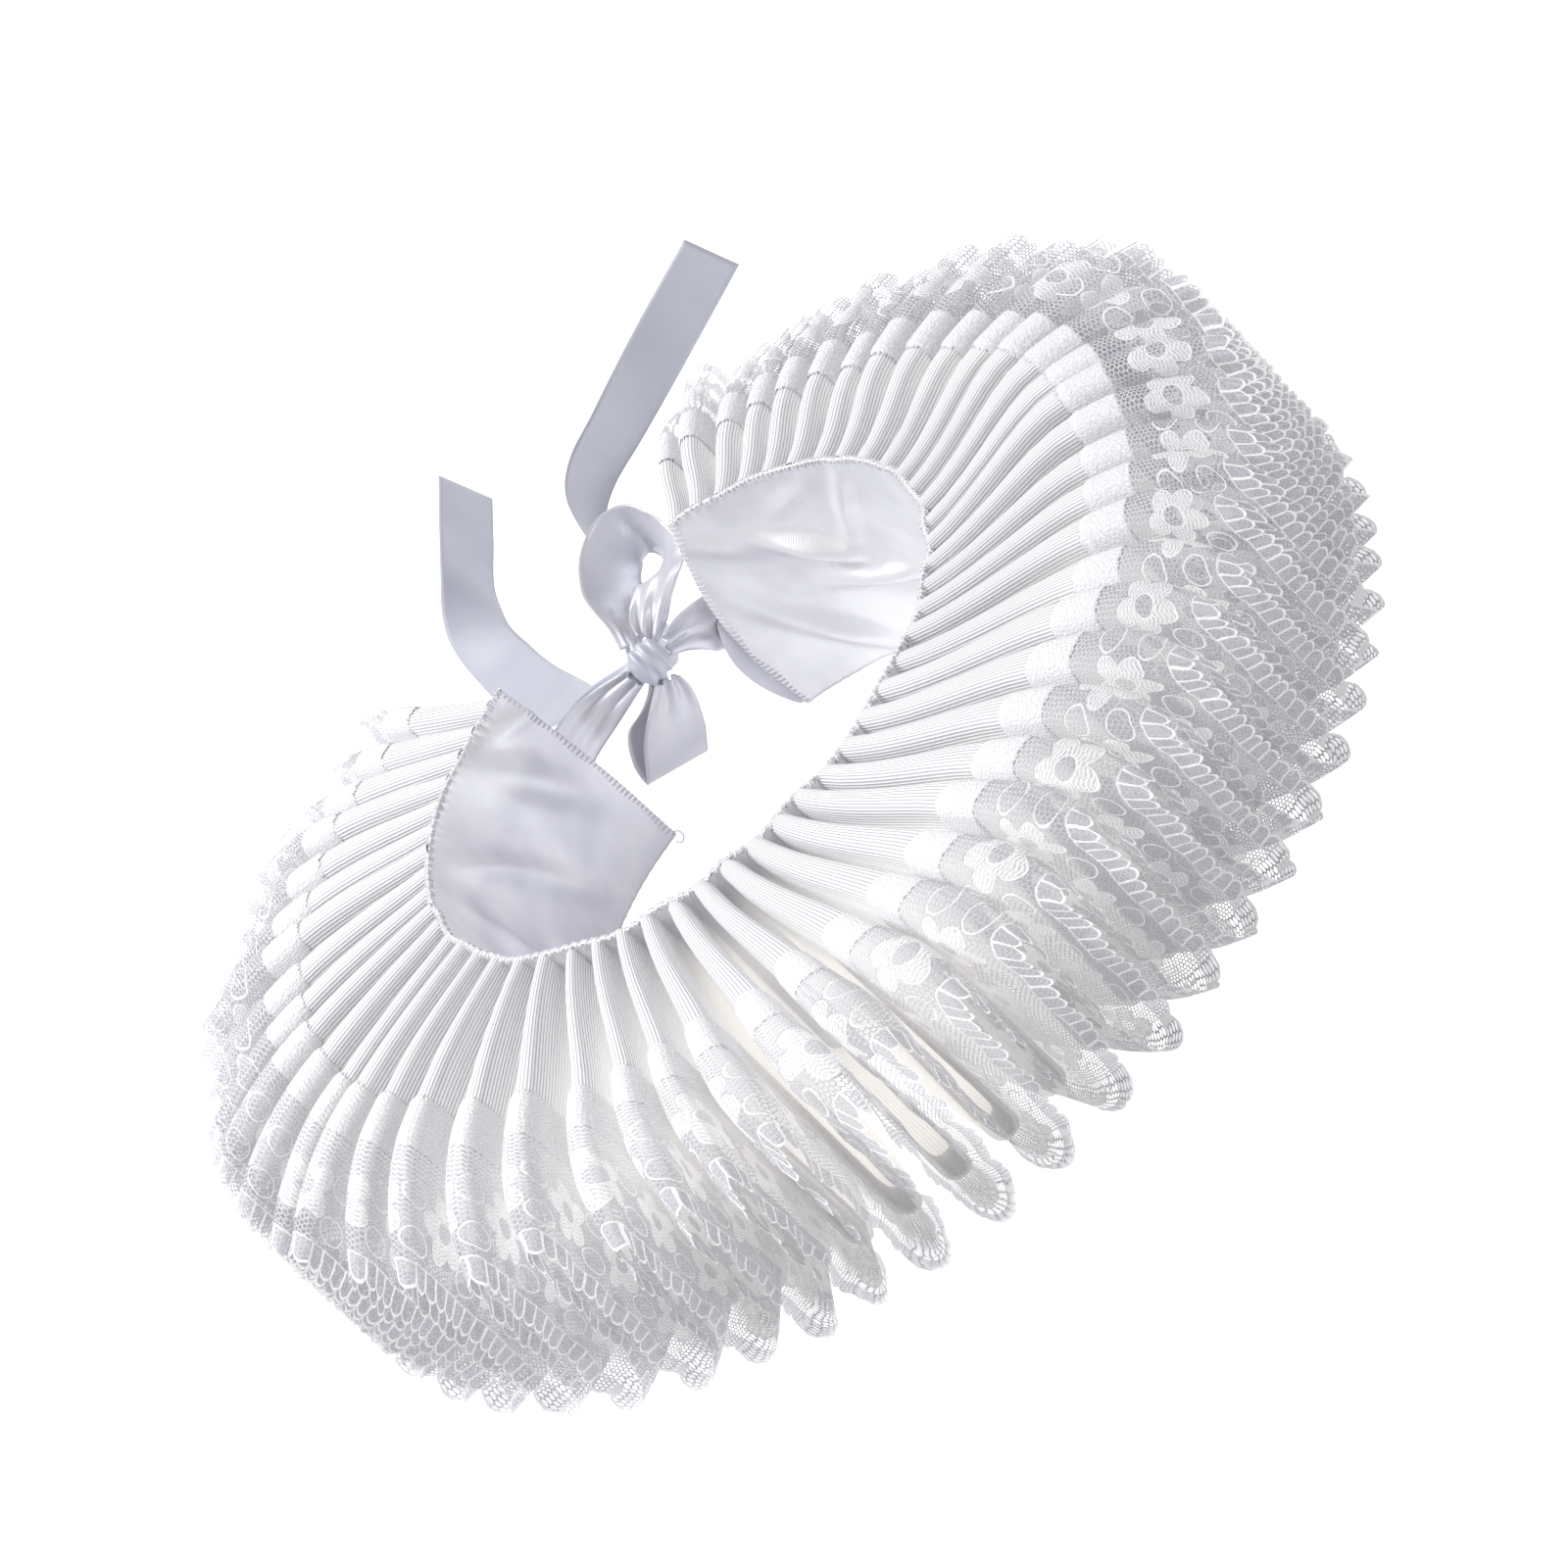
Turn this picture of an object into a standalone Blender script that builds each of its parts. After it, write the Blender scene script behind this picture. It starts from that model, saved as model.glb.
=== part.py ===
"""Ruff collar: a satin neckband with a wide ribbed ribbon set round it in organ pleats,
lace sewn over the ribbon's outer edge, and two satin ties in a bow across the open back.

Sizes are in millimetres and turned into metres when a mesh is made. The collar lies on its
lower folds with the neck hole upright, the open back at +Y and the front at -Y. Angles go round
the neck from the open back at +Y, over the wearer's one shoulder at -X, to the front at -Y.
"""

import math
from collections import namedtuple

import bpy
import numpy as np
from mathutils import Matrix

MM = 0.001
SHARP_ANGLE = math.radians(35.0)

# neckband
BAND_RADIUS = 65.4
BAND_WALL = 1.2
BAND_BOTTOM = 11.0
BAND_TOP = 62.0
BAND_END_TOP = 25.0
BAND_END_BOTTOM = 18.5
BAND_WAIST = 0.8
BAND_STEPS = 60

# pleated ribbon
SEAM_GAP = 0.3
CLOTH_WALL = 1.0
FOLDS = 51
RIBBON_WIDTH = 45.0
ROOT_RADIUS = BAND_RADIUS + BAND_WALL / 2 + SEAM_GAP
RIBBON_EDGE = ROOT_RADIUS + RIBBON_WIDTH
CHAMFER = 1.1
END_WALL_LIFT = 3.0
QUARTER_TURN = np.array([[0.0, 1.0], [-1.0, 0.0]])

# lace
HEADER_RADIUS = RIBBON_EDGE - 12.0
FOLD_PROOF = CLOTH_WALL / 2 + SEAM_GAP

# The upper folds: fold number, degrees at the root, degrees at the lace header, how far the
# header stands above the even cone of the other folds, and how far out the lace reaches.
FOLD_COLUMNS = ("fold", "root_deg", "header_deg", "rise", "reach")
FOLD_ROWS = (
    (1, 25.0, 25.5, 0.0, 136.0),
    (5, 52.0, 49.5, 4.0, 138.0),
    (9, 79.5, 79.5, 4.0, 138.0),
    (12, 100.0, 101.5, 3.5, 137.0),
    (15, 121.0, 120.5, 6.0, 135.0),
    (18, 141.5, 139.5, 0.5, 134.0),
    (21, 159.5, 157.0, 0.5, 134.0),
    (25, 184.5, 183.0, -1.0, 133.0),
    (29, 208.0, 206.5, 0.5, 132.0),
    (33, 232.0, 233.0, -1.0, 132.0),
    (37, 256.0, 258.5, 3.0, 135.0),
    (41, 280.5, 286.0, -1.0, 138.0),
    (44, 297.5, 304.5, -1.0, 138.0),
    (48, 320.0, 325.0, -0.5, 138.0),
    (51, 335.0, 339.0, 0.0, 135.0),
)

# How the folds differ from each other: in direction by degrees, in height by millimetres and in
# width by a share, each as a wave with its amount, its pace per fold and its start.
Wave = namedtuple("Wave", "amount pace start")
DIRECTION_WAVE = Wave(0.35, 2.3, 0.4)
HEIGHT_WAVE = Wave(1.0, 1.9, 0.9)
WIDTH_WAVE = Wave(0.04, 2.9, 2.0)

# Sections across the pleats, from the neck outwards: the radius, or the share of the way from
# the ribbon's edge to the lace's reach; heights of the folds' middle surface; fold width as a
# share of the pitch; how much the folds differ from each other; and how much of the rise is left.
Section = namedtuple("Section", "radius beyond upper lower share uneven lift")
FLAT = CLOTH_WALL / 2
ROOT_SECTION = Section(ROOT_RADIUS, 0.0, 60.0, 12.0, 0.71, 0.3, 0.0)
HEADER_SECTION = Section(HEADER_RADIUS, 0.0, 57.6, FLAT, 0.57, 1.0, 1.0)
EDGE_SECTION = Section(RIBBON_EDGE, 0.0, 56.2, FLAT, 0.54, 1.2, 0.9)
HANG_SECTION = Section(RIBBON_EDGE, 0.52, 53.4, -FOLD_PROOF, 0.50, 2.2, 0.5)
HEM_SECTION = Section(RIBBON_EDGE, 1.0, 49.0, 5.6, 0.48, 3.4, 0.1)
RIBBON_SECTIONS = (ROOT_SECTION, HEADER_SECTION, EDGE_SECTION)
LACE_SECTIONS = (HEADER_SECTION, EDGE_SECTION, HANG_SECTION, HEM_SECTION)

# satin ties
TIE_WIDTH = 15.0
TIE_WALL = 1.0
TIE_STEPS = 4
KNOT_CENTRE = (2.7, 60.0, 41.5)
KNOT_HALF = (4.4, 3.6, 4.8)
KNOT_RINGS = 8
KNOT_SIDES = 14

# Each tie piece is a row of stations: where its middle line passes, the way that its width
# points there (up is +Z, along the gap is +X, front to back is +Y), and its width as a share of
# the ribbon's full width.
STATION_COLUMNS = ("x", "y", "z", "wide_x", "wide_y", "wide_z", "share")
ON_EDGE = TIE_WIDTH / 2 + 0.3
TIE_ROWS = {
    "tie_root_left": (
        (-23.6, 62.6, 38.0, 0.12, 0.0, 1.0, 0.90),
        (-17.0, 65.2, 38.4, 0.05, 0.0, 1.0, 0.80),
        (-9.5, 64.0, 39.6, 0.0, 0.1, 1.0, 0.60),
        (-2.4, 60.4, 41.5, 0.0, 0.0, 1.0, 0.40),
    ),
    "tie_root_right": (
        (7.9, 60.0, 41.6, 0.0, 0.0, 1.0, 0.36),
        (13.0, 62.0, 39.4, 0.0, 0.3, 1.0, 0.55),
        (18.5, 64.7, 35.0, -0.1, 0.1, 1.0, 0.85),
        (23.0, 63.0, 33.5, -0.12, 0.0, 1.0, 0.95),
    ),
    "bow_loop_upper": (
        (5.9, 64.4, 43.6, 0.6, 0.0, -0.8, 0.34),
        (8.4, 66.6, 45.0, 0.8, -0.4, -0.5, 0.50),
        (12.0, 69.0, 47.0, 0.7, -0.7, -0.2, 0.66),
        (16.0, 73.0, 47.6, 0.4, -0.9, 0.0, 0.84),
        (19.4, 77.4, 46.8, 0.2, -0.9, 0.3, 1.00),
        (22.0, 82.4, 46.8, 0.2, -0.8, 0.5, 1.00),
        (23.2, 88.2, 48.2, 0.3, -0.6, 0.7, 1.00),
        (21.4, 92.0, 50.4, 0.2, -0.2, 0.9, 1.00),
        (16.6, 91.8, 51.4, -0.2, 0.0, 1.0, 1.00),
        (11.0, 87.6, 50.4, -0.5, 0.0, 0.9, 1.00),
        (7.6, 82.6, 48.0, -0.7, -0.2, 0.7, 1.00),
        (5.2, 77.4, 45.8, -0.6, -0.4, 0.7, 0.85),
        (3.2, 71.0, 44.6, -0.4, -0.5, 0.8, 0.55),
        (1.4, 64.5, 44.0, -0.2, -0.2, 1.0, 0.34),
    ),
    "bow_loop_lower": (
        (2.9, 58.4, 36.3, 1.0, 0.0, 0.0, 0.36),
        (0.4, 60.2, 31.0, 1.0, 0.0, -0.1, 0.70),
        (-4.8, 62.8, 23.0, 1.0, 0.0, -0.2, 1.00),
        (-8.6, 66.0, 16.2, 1.0, 0.0, -0.3, 1.00),
        (-9.2, 69.4, 14.4, 1.0, 0.0, -0.3, 1.00),
        (-8.6, 71.6, 18.0, 1.0, 0.0, -0.3, 1.00),
        (-5.2, 69.2, 26.0, 1.0, 0.0, -0.2, 0.90),
        (-0.6, 64.0, 32.6, 1.0, 0.0, 0.0, 0.50),
        (1.6, 61.4, 36.3, 1.0, 0.0, 0.0, 0.32),
    ),
    "tie_tail_long": (
        (4.4, 64.3, 38.2, 0.0, 0.0, 1.0, 0.30),
        (5.4, 71.0, 36.0, 0.0, 0.0, 1.0, 0.55),
        (7.4, 81.0, 32.6, 0.0, 0.1, 1.0, 0.80),
        (9.0, 97.0, 28.0, 0.0, 0.1, 1.0, 1.00),
        (10.6, 118.0, 20.5, 0.0, 0.2, 1.0, 1.00),
        (11.8, 140.0, 12.5, 0.0, 0.1, 1.0, 1.00),
        (12.4, 160.0, ON_EDGE + 0.8, 0.0, 0.0, 1.0, 1.00),
        (13.6, 184.0, ON_EDGE, 0.0, 0.0, 1.0, 1.00),
        (17.0, 205.0, ON_EDGE, 0.0, 0.0, 1.0, 1.00),
        (25.0, 219.0, ON_EDGE, -0.1, -0.1, 1.0, 1.00),
        (39.0, 229.0, ON_EDGE, -0.3, -0.1, 1.0, 1.00),
        (62.5, 247.1, ON_EDGE - 0.8, -0.4, 0.2, 0.9, 1.00),
        (85.7, 263.7, ON_EDGE - 1.3, -0.5, 0.4, 0.8, 1.00),
    ),
    "tie_tail_short": (
        (0.6, 64.3, 39.9, 0.0, 0.0, 1.0, 0.30),
        (-7.0, 70.8, 37.0, -0.4, 0.0, 1.0, 0.60),
        (-14.0, 81.0, 33.4, -0.9, 0.0, 0.4, 0.90),
        (-16.8, 100.0, 26.5, -1.0, 0.0, 0.2, 1.00),
        (-18.0, 122.0, 18.0, -1.0, 0.0, 0.0, 1.00),
        (-19.0, 143.0, 10.6, -1.0, 0.0, 0.0, 1.00),
        (-20.6, 164.0, 5.2, -1.0, 0.0, 0.0, 1.00),
        (-21.6, 187.0, 2.1, -1.0, 0.0, 0.1, 1.00),
        (-20.8, 207.5, 4.8, -1.0, 0.0, 0.6, 1.00),
        (-14.2, 226.0, ON_EDGE - 0.2, -0.4, 0.0, 0.9, 1.00),
        (-5.6, 248.5, ON_EDGE - 0.4, -0.4, 0.0, 0.9, 1.00),
        (1.5, 266.3, ON_EDGE - 0.4, -0.4, 0.0, 0.9, 1.00),
    ),
}


def unit(vectors):
    """Vectors scaled to length 1 along their last axis."""
    return vectors / np.linalg.norm(vectors, axis=-1, keepdims=True)


def column(rows, names, name):
    """One named column of a table as an array."""
    return np.array([row[names.index(name)] for row in rows], float)


def smooth_between(where, stops, values):
    """A Catmull-Rom curve through values at stops, read at where."""
    values = np.asarray(values, float)
    slopes = np.gradient(values, stops, axis=0)
    index = np.clip(np.searchsorted(stops, where, side="right") - 1, 0, len(stops) - 2)
    span = np.diff(stops)[index]
    t = (where - stops[index]) / span
    if values.ndim > 1:
        t = t[:, None]
        span = span[:, None]
    start = values[index] * (2 * t**3 - 3 * t**2 + 1) + slopes[index] * span * (t**3 - 2 * t**2 + t)
    end = values[index + 1] * (3 * t**2 - 2 * t**3) + slopes[index + 1] * span * (t**3 - t**2)
    return start + end


def fabric(name, colour, roughness):
    """A plain cloth material."""
    material = bpy.data.materials.new(name)
    material.use_nodes = True
    shader = material.node_tree.nodes["Principled BSDF"]
    shader.inputs["Base Color"].default_value = (*colour, 1.0)
    shader.inputs["Roughness"].default_value = roughness
    shader.inputs["Metallic"].default_value = 0.0
    material.diffuse_color = (*colour, 1.0)
    return material


def add_piece(name, points, faces, material):
    """A mesh object from points in millimetres, its faces turned to point outwards."""
    points = np.asarray(points, float) * MM
    corners = points[np.array([face[:3] for face in faces])]
    if len(faces[0]) == 4:
        fourth = points[np.array([face[3] for face in faces])]
        halves = np.concatenate([corners, np.stack([corners[:, 0], corners[:, 2], fourth], 1)])
    else:
        halves = corners
    if np.linalg.det(halves).sum() < 0:
        faces = [face[::-1] for face in faces]
    mesh = bpy.data.meshes.new(name)
    mesh.from_pydata(points.tolist(), [], [tuple(int(i) for i in face) for face in faces])
    mesh.materials.append(material)
    mesh.shade_smooth()
    mesh.set_sharp_from_angle(angle=SHARP_ANGLE)
    piece = bpy.data.objects.new(name, mesh)
    bpy.context.collection.objects.link(piece)
    return piece


def wall_between(first, second):
    """Points and faces of a closed wall: two grids of rows by columns as its sides, with rims."""
    rows, columns = first.shape[:2]
    points = np.concatenate([first.reshape(-1, 3), second.reshape(-1, 3)])
    index = np.arange(rows * columns).reshape(rows, columns)
    other = index + rows * columns
    a, b = index[:-1, :-1], index[1:, :-1]
    c, d = index[1:, 1:], index[:-1, 1:]
    faces = [np.stack([a, b, c, d], -1).reshape(-1, 4)]
    faces.append((np.stack([d, c, b, a], -1) + rows * columns).reshape(-1, 4))
    for edge, back in ((index[0], other[0]), (index[-1][::-1], other[-1][::-1])):
        faces.append(np.stack([edge[:-1], edge[1:], back[1:], back[:-1]], -1))
    for edge, back in ((index[:, -1], other[:, -1]), (index[:, 0][::-1], other[:, 0][::-1])):
        faces.append(np.stack([edge[:-1], edge[1:], back[1:], back[:-1]], -1))
    return points, np.concatenate(faces).tolist()


def round_the_neck(degrees, radius, height):
    """Points at these angles round the neck, from +Y towards -X."""
    turn = np.radians(degrees)
    return np.stack([-radius * np.sin(turn), radius * np.cos(turn), height + 0 * turn], -1)


def neckband(material):
    """A C of satin, a little narrower at mid height, its ends cut on a slant."""
    heights = np.array([BAND_BOTTOM, (BAND_BOTTOM + BAND_TOP) / 2, BAND_TOP])
    half_gaps = np.linspace(BAND_END_BOTTOM, BAND_END_TOP, len(heights))
    sides = []
    for side in (-BAND_WALL / 2, BAND_WALL / 2):
        rows = []
        for row, (height, half_gap) in enumerate(zip(heights, half_gaps)):
            start = math.degrees(math.asin(half_gap / BAND_RADIUS))
            degrees = np.linspace(start, 360 - start, BAND_STEPS)
            radius = BAND_RADIUS + side - (BAND_WAIST if row == 1 else 0)
            rows.append(round_the_neck(degrees, radius, height))
        sides.append(np.array(rows))
    points, faces = wall_between(*sides)
    return add_piece("neckband", points, faces, material)


def sway(folds, wave):
    """A small difference for each fold that never repeats evenly: two sines added."""
    slow = np.sin(wave.pace * folds + wave.start)
    quick = np.sin(1.7 * wave.pace * folds + 2.0 * wave.start + 1.0)
    return wave.amount * (0.6 * slow + 0.4 * quick)


def per_fold(name, folds):
    """A column of the fold table, read smoothly at every fold."""
    stops = column(FOLD_ROWS, FOLD_COLUMNS, "fold")
    return smooth_between(folds, stops, column(FOLD_ROWS, FOLD_COLUMNS, name))


def fold_degrees(radius, folds):
    """The direction of each upper fold at this radius, with small differences between folds."""
    root = per_fold("root_deg", folds)
    header = per_fold("header_deg", folds)
    outwards = (radius - ROOT_RADIUS) / (HEADER_RADIUS - ROOT_RADIUS)
    return root + (header - root) * np.minimum(outwards, 1.0) + sway(folds, DIRECTION_WAVE) * outwards


def pleat_line(section, offset):
    """Radii, angles and heights of the pleated cloth at one section, moved out by offset.

    The line runs round the unrolled ring: over an upper fold, down a wall, under a lower fold
    and up again, with cut corners. Each point moves along the mean normal of its two stretches,
    lengthened so that the wall keeps its thickness.
    """
    folds = np.arange(1, FOLDS + 1, dtype=float)
    radii = section.radius + section.beyond * (per_fold("reach", folds) - RIBBON_EDGE)
    mean_radius = radii.mean()
    centre = np.radians(fold_degrees(radii, folds)) * mean_radius
    pitch = np.gradient(centre)
    top = section.upper + section.lift * per_fold("rise", folds) + section.uneven * sway(folds, HEIGHT_WAVE)
    half = section.share * pitch / 2 * (1 + sway(folds, WIDTH_WAVE))
    between = (centre[1:] + centre[:-1]) / 2
    under = (half[1:] + half[:-1]) / 2
    bottom = np.full(FOLDS - 1, section.lower)
    high = fold_corners(centre, half, top, -CHAMFER)
    low = fold_corners(between, under, bottom, CHAMFER)
    pairs = np.concatenate([high[:, :, :-1], low], axis=1)
    line = np.concatenate([pairs.transpose(2, 1, 0).reshape(-1, 2), high[:, :, -1].T])
    slant = pitch[0] / 2 - 2 * half[0]
    foot = section.lower + END_WALL_LIFT
    line = np.concatenate([[(line[0, 0] - slant, foot)], line, [(line[-1, 0] + slant, foot)]])
    normals = unit(np.diff(line, axis=0)) @ QUARTER_TURN
    before = np.concatenate([normals[:1], normals])
    after = np.concatenate([normals, normals[-1:]])
    mean = unit(before + after)
    line = line + mean * (offset / np.sum(mean * after, axis=1))[:, None]
    return np.interp(line[:, 0], centre, radii), np.degrees(line[:, 0] / mean_radius), line[:, 1]


def fold_corners(centre, half, crest, drop):
    """The four corners of every fold, as places along the line and heights: 2 x 4 x folds."""
    along = np.stack([centre - half, centre - half + CHAMFER, centre + half - CHAMFER, centre + half])
    return np.stack([along, np.stack([crest + drop, crest, crest, crest + drop])])


def pleated(name, sections, inner, outer, material):
    """A pleated strip between two offsets from the pleats' middle surface."""
    sides = []
    for offset in (inner, outer):
        rows = []
        for section in sections:
            radius, degrees, height = pleat_line(section, offset)
            rows.append(round_the_neck(degrees, radius, height))
        sides.append(np.array(rows))
    points, faces = wall_between(*sides)
    return add_piece(name, points, faces, material)


def tie_piece(name, stations, material):
    """A length of satin ribbon: a flat section carried along a smooth line of stations."""
    stations = np.array(stations, float)
    stops = np.arange(len(stations), dtype=float)
    where = np.linspace(0, stops[-1], (len(stations) - 1) * TIE_STEPS + 1)
    read = dict(zip(STATION_COLUMNS, smooth_between(where, stops, stations).T))
    middle = np.stack([read["x"], read["y"], read["z"]], axis=-1)
    along = unit(np.gradient(middle, axis=0))
    wide = np.stack([read["wide_x"], read["wide_y"], read["wide_z"]], axis=-1)
    wide = unit(wide - np.sum(wide * along, axis=1, keepdims=True) * along)
    thick = np.cross(along, wide)
    half = TIE_WIDTH / 2 * read["share"][:, None]
    rows = [middle - half * wide, middle, middle + half * wide]
    sides = [np.array([row + thick * side for row in rows]) for side in (-TIE_WALL / 2, TIE_WALL / 2)]
    points, faces = wall_between(*sides)
    return add_piece(name, points, faces, material)


def bow_knot(material):
    """The knot: a small rounded body, a little squared, closed at its poles."""
    points = [np.array(KNOT_CENTRE) - (0, 0, KNOT_HALF[2])]
    for ring in range(1, KNOT_RINGS):
        tilt = math.pi * ring / KNOT_RINGS
        wide = math.sin(tilt) ** 0.8
        for side in range(KNOT_SIDES):
            turn = 2 * math.pi * side / KNOT_SIDES
            direction = np.array([wide * math.cos(turn), wide * math.sin(turn), -math.cos(tilt)])
            points.append(np.array(KNOT_CENTRE) + direction * KNOT_HALF)
    points.append(np.array(KNOT_CENTRE) + (0, 0, KNOT_HALF[2]))
    faces = []
    top = len(points) - 1
    for side in range(KNOT_SIDES):
        after = (side + 1) % KNOT_SIDES
        faces.append([0, 1 + after, 1 + side])
        for ring in range(KNOT_RINGS - 2):
            low = 1 + ring * KNOT_SIDES
            high = low + KNOT_SIDES
            faces.append([low + side, low + after, high + after])
            faces.append([low + side, high + after, high + side])
        last = 1 + (KNOT_RINGS - 2) * KNOT_SIDES
        faces.append([last + side, last + after, top])
    return add_piece("bow_knot", points, faces, material)


def stand_at_origin(pieces):
    """Moves every piece so that the origin is at the middle of the collar's base."""
    corners = np.array([vertex.co for piece in pieces for vertex in piece.data.vertices])
    low = corners.min(axis=0)
    high = corners.max(axis=0)
    shift = (-(low[0] + high[0]) / 2, -(low[1] + high[1]) / 2, -low[2])
    for piece in pieces:
        piece.data.transform(Matrix.Translation(shift))


for old in list(bpy.data.objects):
    bpy.data.objects.remove(old)

satin = fabric("satin", (0.86, 0.86, 0.90), 0.35)
grosgrain = fabric("ribbed_ribbon", (0.90, 0.90, 0.92), 0.65)
lace = fabric("lace", (0.92, 0.92, 0.93), 0.75)

collar = [
    neckband(satin),
    pleated("ruff_ribbon", RIBBON_SECTIONS, -CLOTH_WALL / 2, CLOTH_WALL / 2, grosgrain),
    pleated("ruff_lace", LACE_SECTIONS, FOLD_PROOF, FOLD_PROOF + CLOTH_WALL, lace),
    bow_knot(satin),
]
collar += [tie_piece(name, stations, satin) for name, stations in TIE_ROWS.items()]
stand_at_origin(collar)
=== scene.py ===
"""A ruff collar, dressed over its frame: a satin neckband, a ribbed ribbon in organ pleats, lace
along the ribbon's outer edge, and a bow of two satin ties across the open back.

Sizes are in millimetres and measured from the ring's axis, the line up the middle of the neck
hole. They become metres in the row frame when a mesh is made. Angles go round the neck from the
open back at +Y, over -X, to the front at -Y.
"""

import math
from collections import namedtuple

import bpy
import numpy as np
from mathutils import Matrix, Vector


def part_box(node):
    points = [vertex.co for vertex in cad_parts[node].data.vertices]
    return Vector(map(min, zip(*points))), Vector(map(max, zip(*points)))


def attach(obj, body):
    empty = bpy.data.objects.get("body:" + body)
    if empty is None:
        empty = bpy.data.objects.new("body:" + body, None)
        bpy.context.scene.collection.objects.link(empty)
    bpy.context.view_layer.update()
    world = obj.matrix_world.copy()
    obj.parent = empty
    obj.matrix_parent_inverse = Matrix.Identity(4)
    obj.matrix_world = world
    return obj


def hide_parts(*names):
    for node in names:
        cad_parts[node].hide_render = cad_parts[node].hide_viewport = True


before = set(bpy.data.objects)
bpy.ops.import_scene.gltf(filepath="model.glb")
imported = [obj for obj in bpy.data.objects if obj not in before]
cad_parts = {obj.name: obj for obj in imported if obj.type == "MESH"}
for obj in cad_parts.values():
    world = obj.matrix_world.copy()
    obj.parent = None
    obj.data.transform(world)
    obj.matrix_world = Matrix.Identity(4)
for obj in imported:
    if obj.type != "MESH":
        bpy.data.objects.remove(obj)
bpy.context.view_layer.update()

# ---------------------------------------------------------------- table, light and camera
# The collar lies on a plain white table between white walls, under a large soft light, with two
# weak ones behind it and at its side. The camera looks down on its front, turned by half a right
# angle.
MM = 0.001
BAND_OUTER = 66.0
band_low, band_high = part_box("neckband")
AXIS = np.array([(band_low.x + band_high.x) / 2 / MM, band_low.y / MM + BAND_OUTER, 0.0])

TABLE_SIZE = 6000.0
TABLE_WHITE = (0.88, 0.88, 0.89)
TABLE_DROP = 0.3
TABLE_GLOW = 0.2
TABLE_SEEN = 0.6
WALL_LIGHT = 0.40
WALL_COLOUR = (0.985, 0.985, 1.0)
LIGHT_COLUMNS = ("name", "place", "size", "power")
LIGHT_ROWS = (
    ("overhead_light", (-850.0, 150.0, 1400.0), 480.0, 23.5),
    ("back_light", (500.0, 1000.0, 900.0), 500.0, 4.0),
    ("side_light", (800.0, -1200.0, 600.0), 600.0, 3.4),
)
CAMERA_HEIGHT = 27.3
CAMERA_DISTANCE = 1200.0
CAMERA_TURN = 45.0
CAMERA_LENS = 135.3
RING_TARGET = np.array([0.0, 0.0, 62.0])
PICTURE_CENTRE = np.array([4.4, -12.9, 37.1])


def unit(vectors):
    """Vectors divided by their lengths."""
    return vectors / np.linalg.norm(vectors, axis=-1, keepdims=True)


def shader_nodes(name):
    """A new material, its node tree and its shader."""
    material = bpy.data.materials.new(name)
    material.use_nodes = True
    return material, material.node_tree, material.node_tree.nodes["Principled BSDF"]


def join(tree, start, socket):
    """Feeds a number, a colour or an output to a socket."""
    if isinstance(start, (int, float)):
        socket.default_value = start
    elif isinstance(start, tuple):
        socket.default_value = (*start, 1.0)[: len(socket.default_value)]
    else:
        tree.links.new(start, socket)


def feed(tree, node, inputs):
    """Feeds a node's inputs, by name or place, each with a number, a colour or an output."""
    for name, value in inputs.items():
        join(tree, value, node.inputs[name])


def sum_of(tree, kind, first, second=0.0, third=0.0):
    """The result of a Math node: kind is its operation."""
    node = tree.nodes.new("ShaderNodeMath")
    node.operation = kind
    for value, socket in zip((first, second, third), node.inputs):
        join(tree, value, socket)
    return node.outputs[0]


def table_cloth():
    """The table: one square under the collar. It glows faintly, and more as the camera sees it."""
    half = TABLE_SIZE / 2
    corners = [(-half, -half), (half, -half), (half, half), (-half, half)]
    mesh = bpy.data.meshes.new("table")
    mesh.from_pydata([(x * MM, y * MM, -TABLE_DROP * MM) for x, y in corners], [], [(0, 1, 2, 3)])
    table = bpy.data.objects.new("table", mesh)
    bpy.context.scene.collection.objects.link(table)
    white, tree, shader = shader_nodes("table_white")
    seen = tree.nodes.new("ShaderNodeLightPath").outputs["Is Camera Ray"]
    finish = {
        "Base Color": TABLE_WHITE,
        "Roughness": 0.9,
        "Specular IOR Level": 0.1,
        "Emission Color": (1.0, 1.0, 1.0),
        "Emission Strength": sum_of(tree, "MULTIPLY_ADD", seen, TABLE_SEEN, TABLE_GLOW),
    }
    feed(tree, shader, finish)
    white.cycles.emission_sampling = "NONE"
    mesh.materials.append(white)
    return table


def turned_camera():
    """A long lens at the picture's height and distance, rolled so that the open back points up
    and to the left: its right is X less the view's up, its up is X and the view's up together."""
    tilt = math.radians(CAMERA_HEIGHT)
    ahead = np.array([0.0, math.cos(tilt), -math.sin(tilt)])
    place = RING_TARGET - CAMERA_DISTANCE * ahead
    look = unit(PICTURE_CENTRE - place)
    right = np.array([1.0, 0.0, 0.0])
    up = np.cross(right, ahead)
    turn = math.radians(CAMERA_TURN)
    across = right * math.cos(turn) - up * math.sin(turn)
    across = unit(across - across @ look * look)
    lens = bpy.data.cameras.new("camera")
    lens.lens = CAMERA_LENS
    lens.clip_start = 0.05
    lens.clip_end = 20.0
    camera = bpy.data.objects.new("camera", lens)
    bpy.context.scene.collection.objects.link(camera)
    axes = np.stack([across, np.cross(-look, across), -look], axis=1)
    shift = Matrix.Translation(Vector((place + AXIS) * MM))
    camera.matrix_world = shift @ Matrix(axes.tolist()).to_4x4()
    return camera


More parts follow.
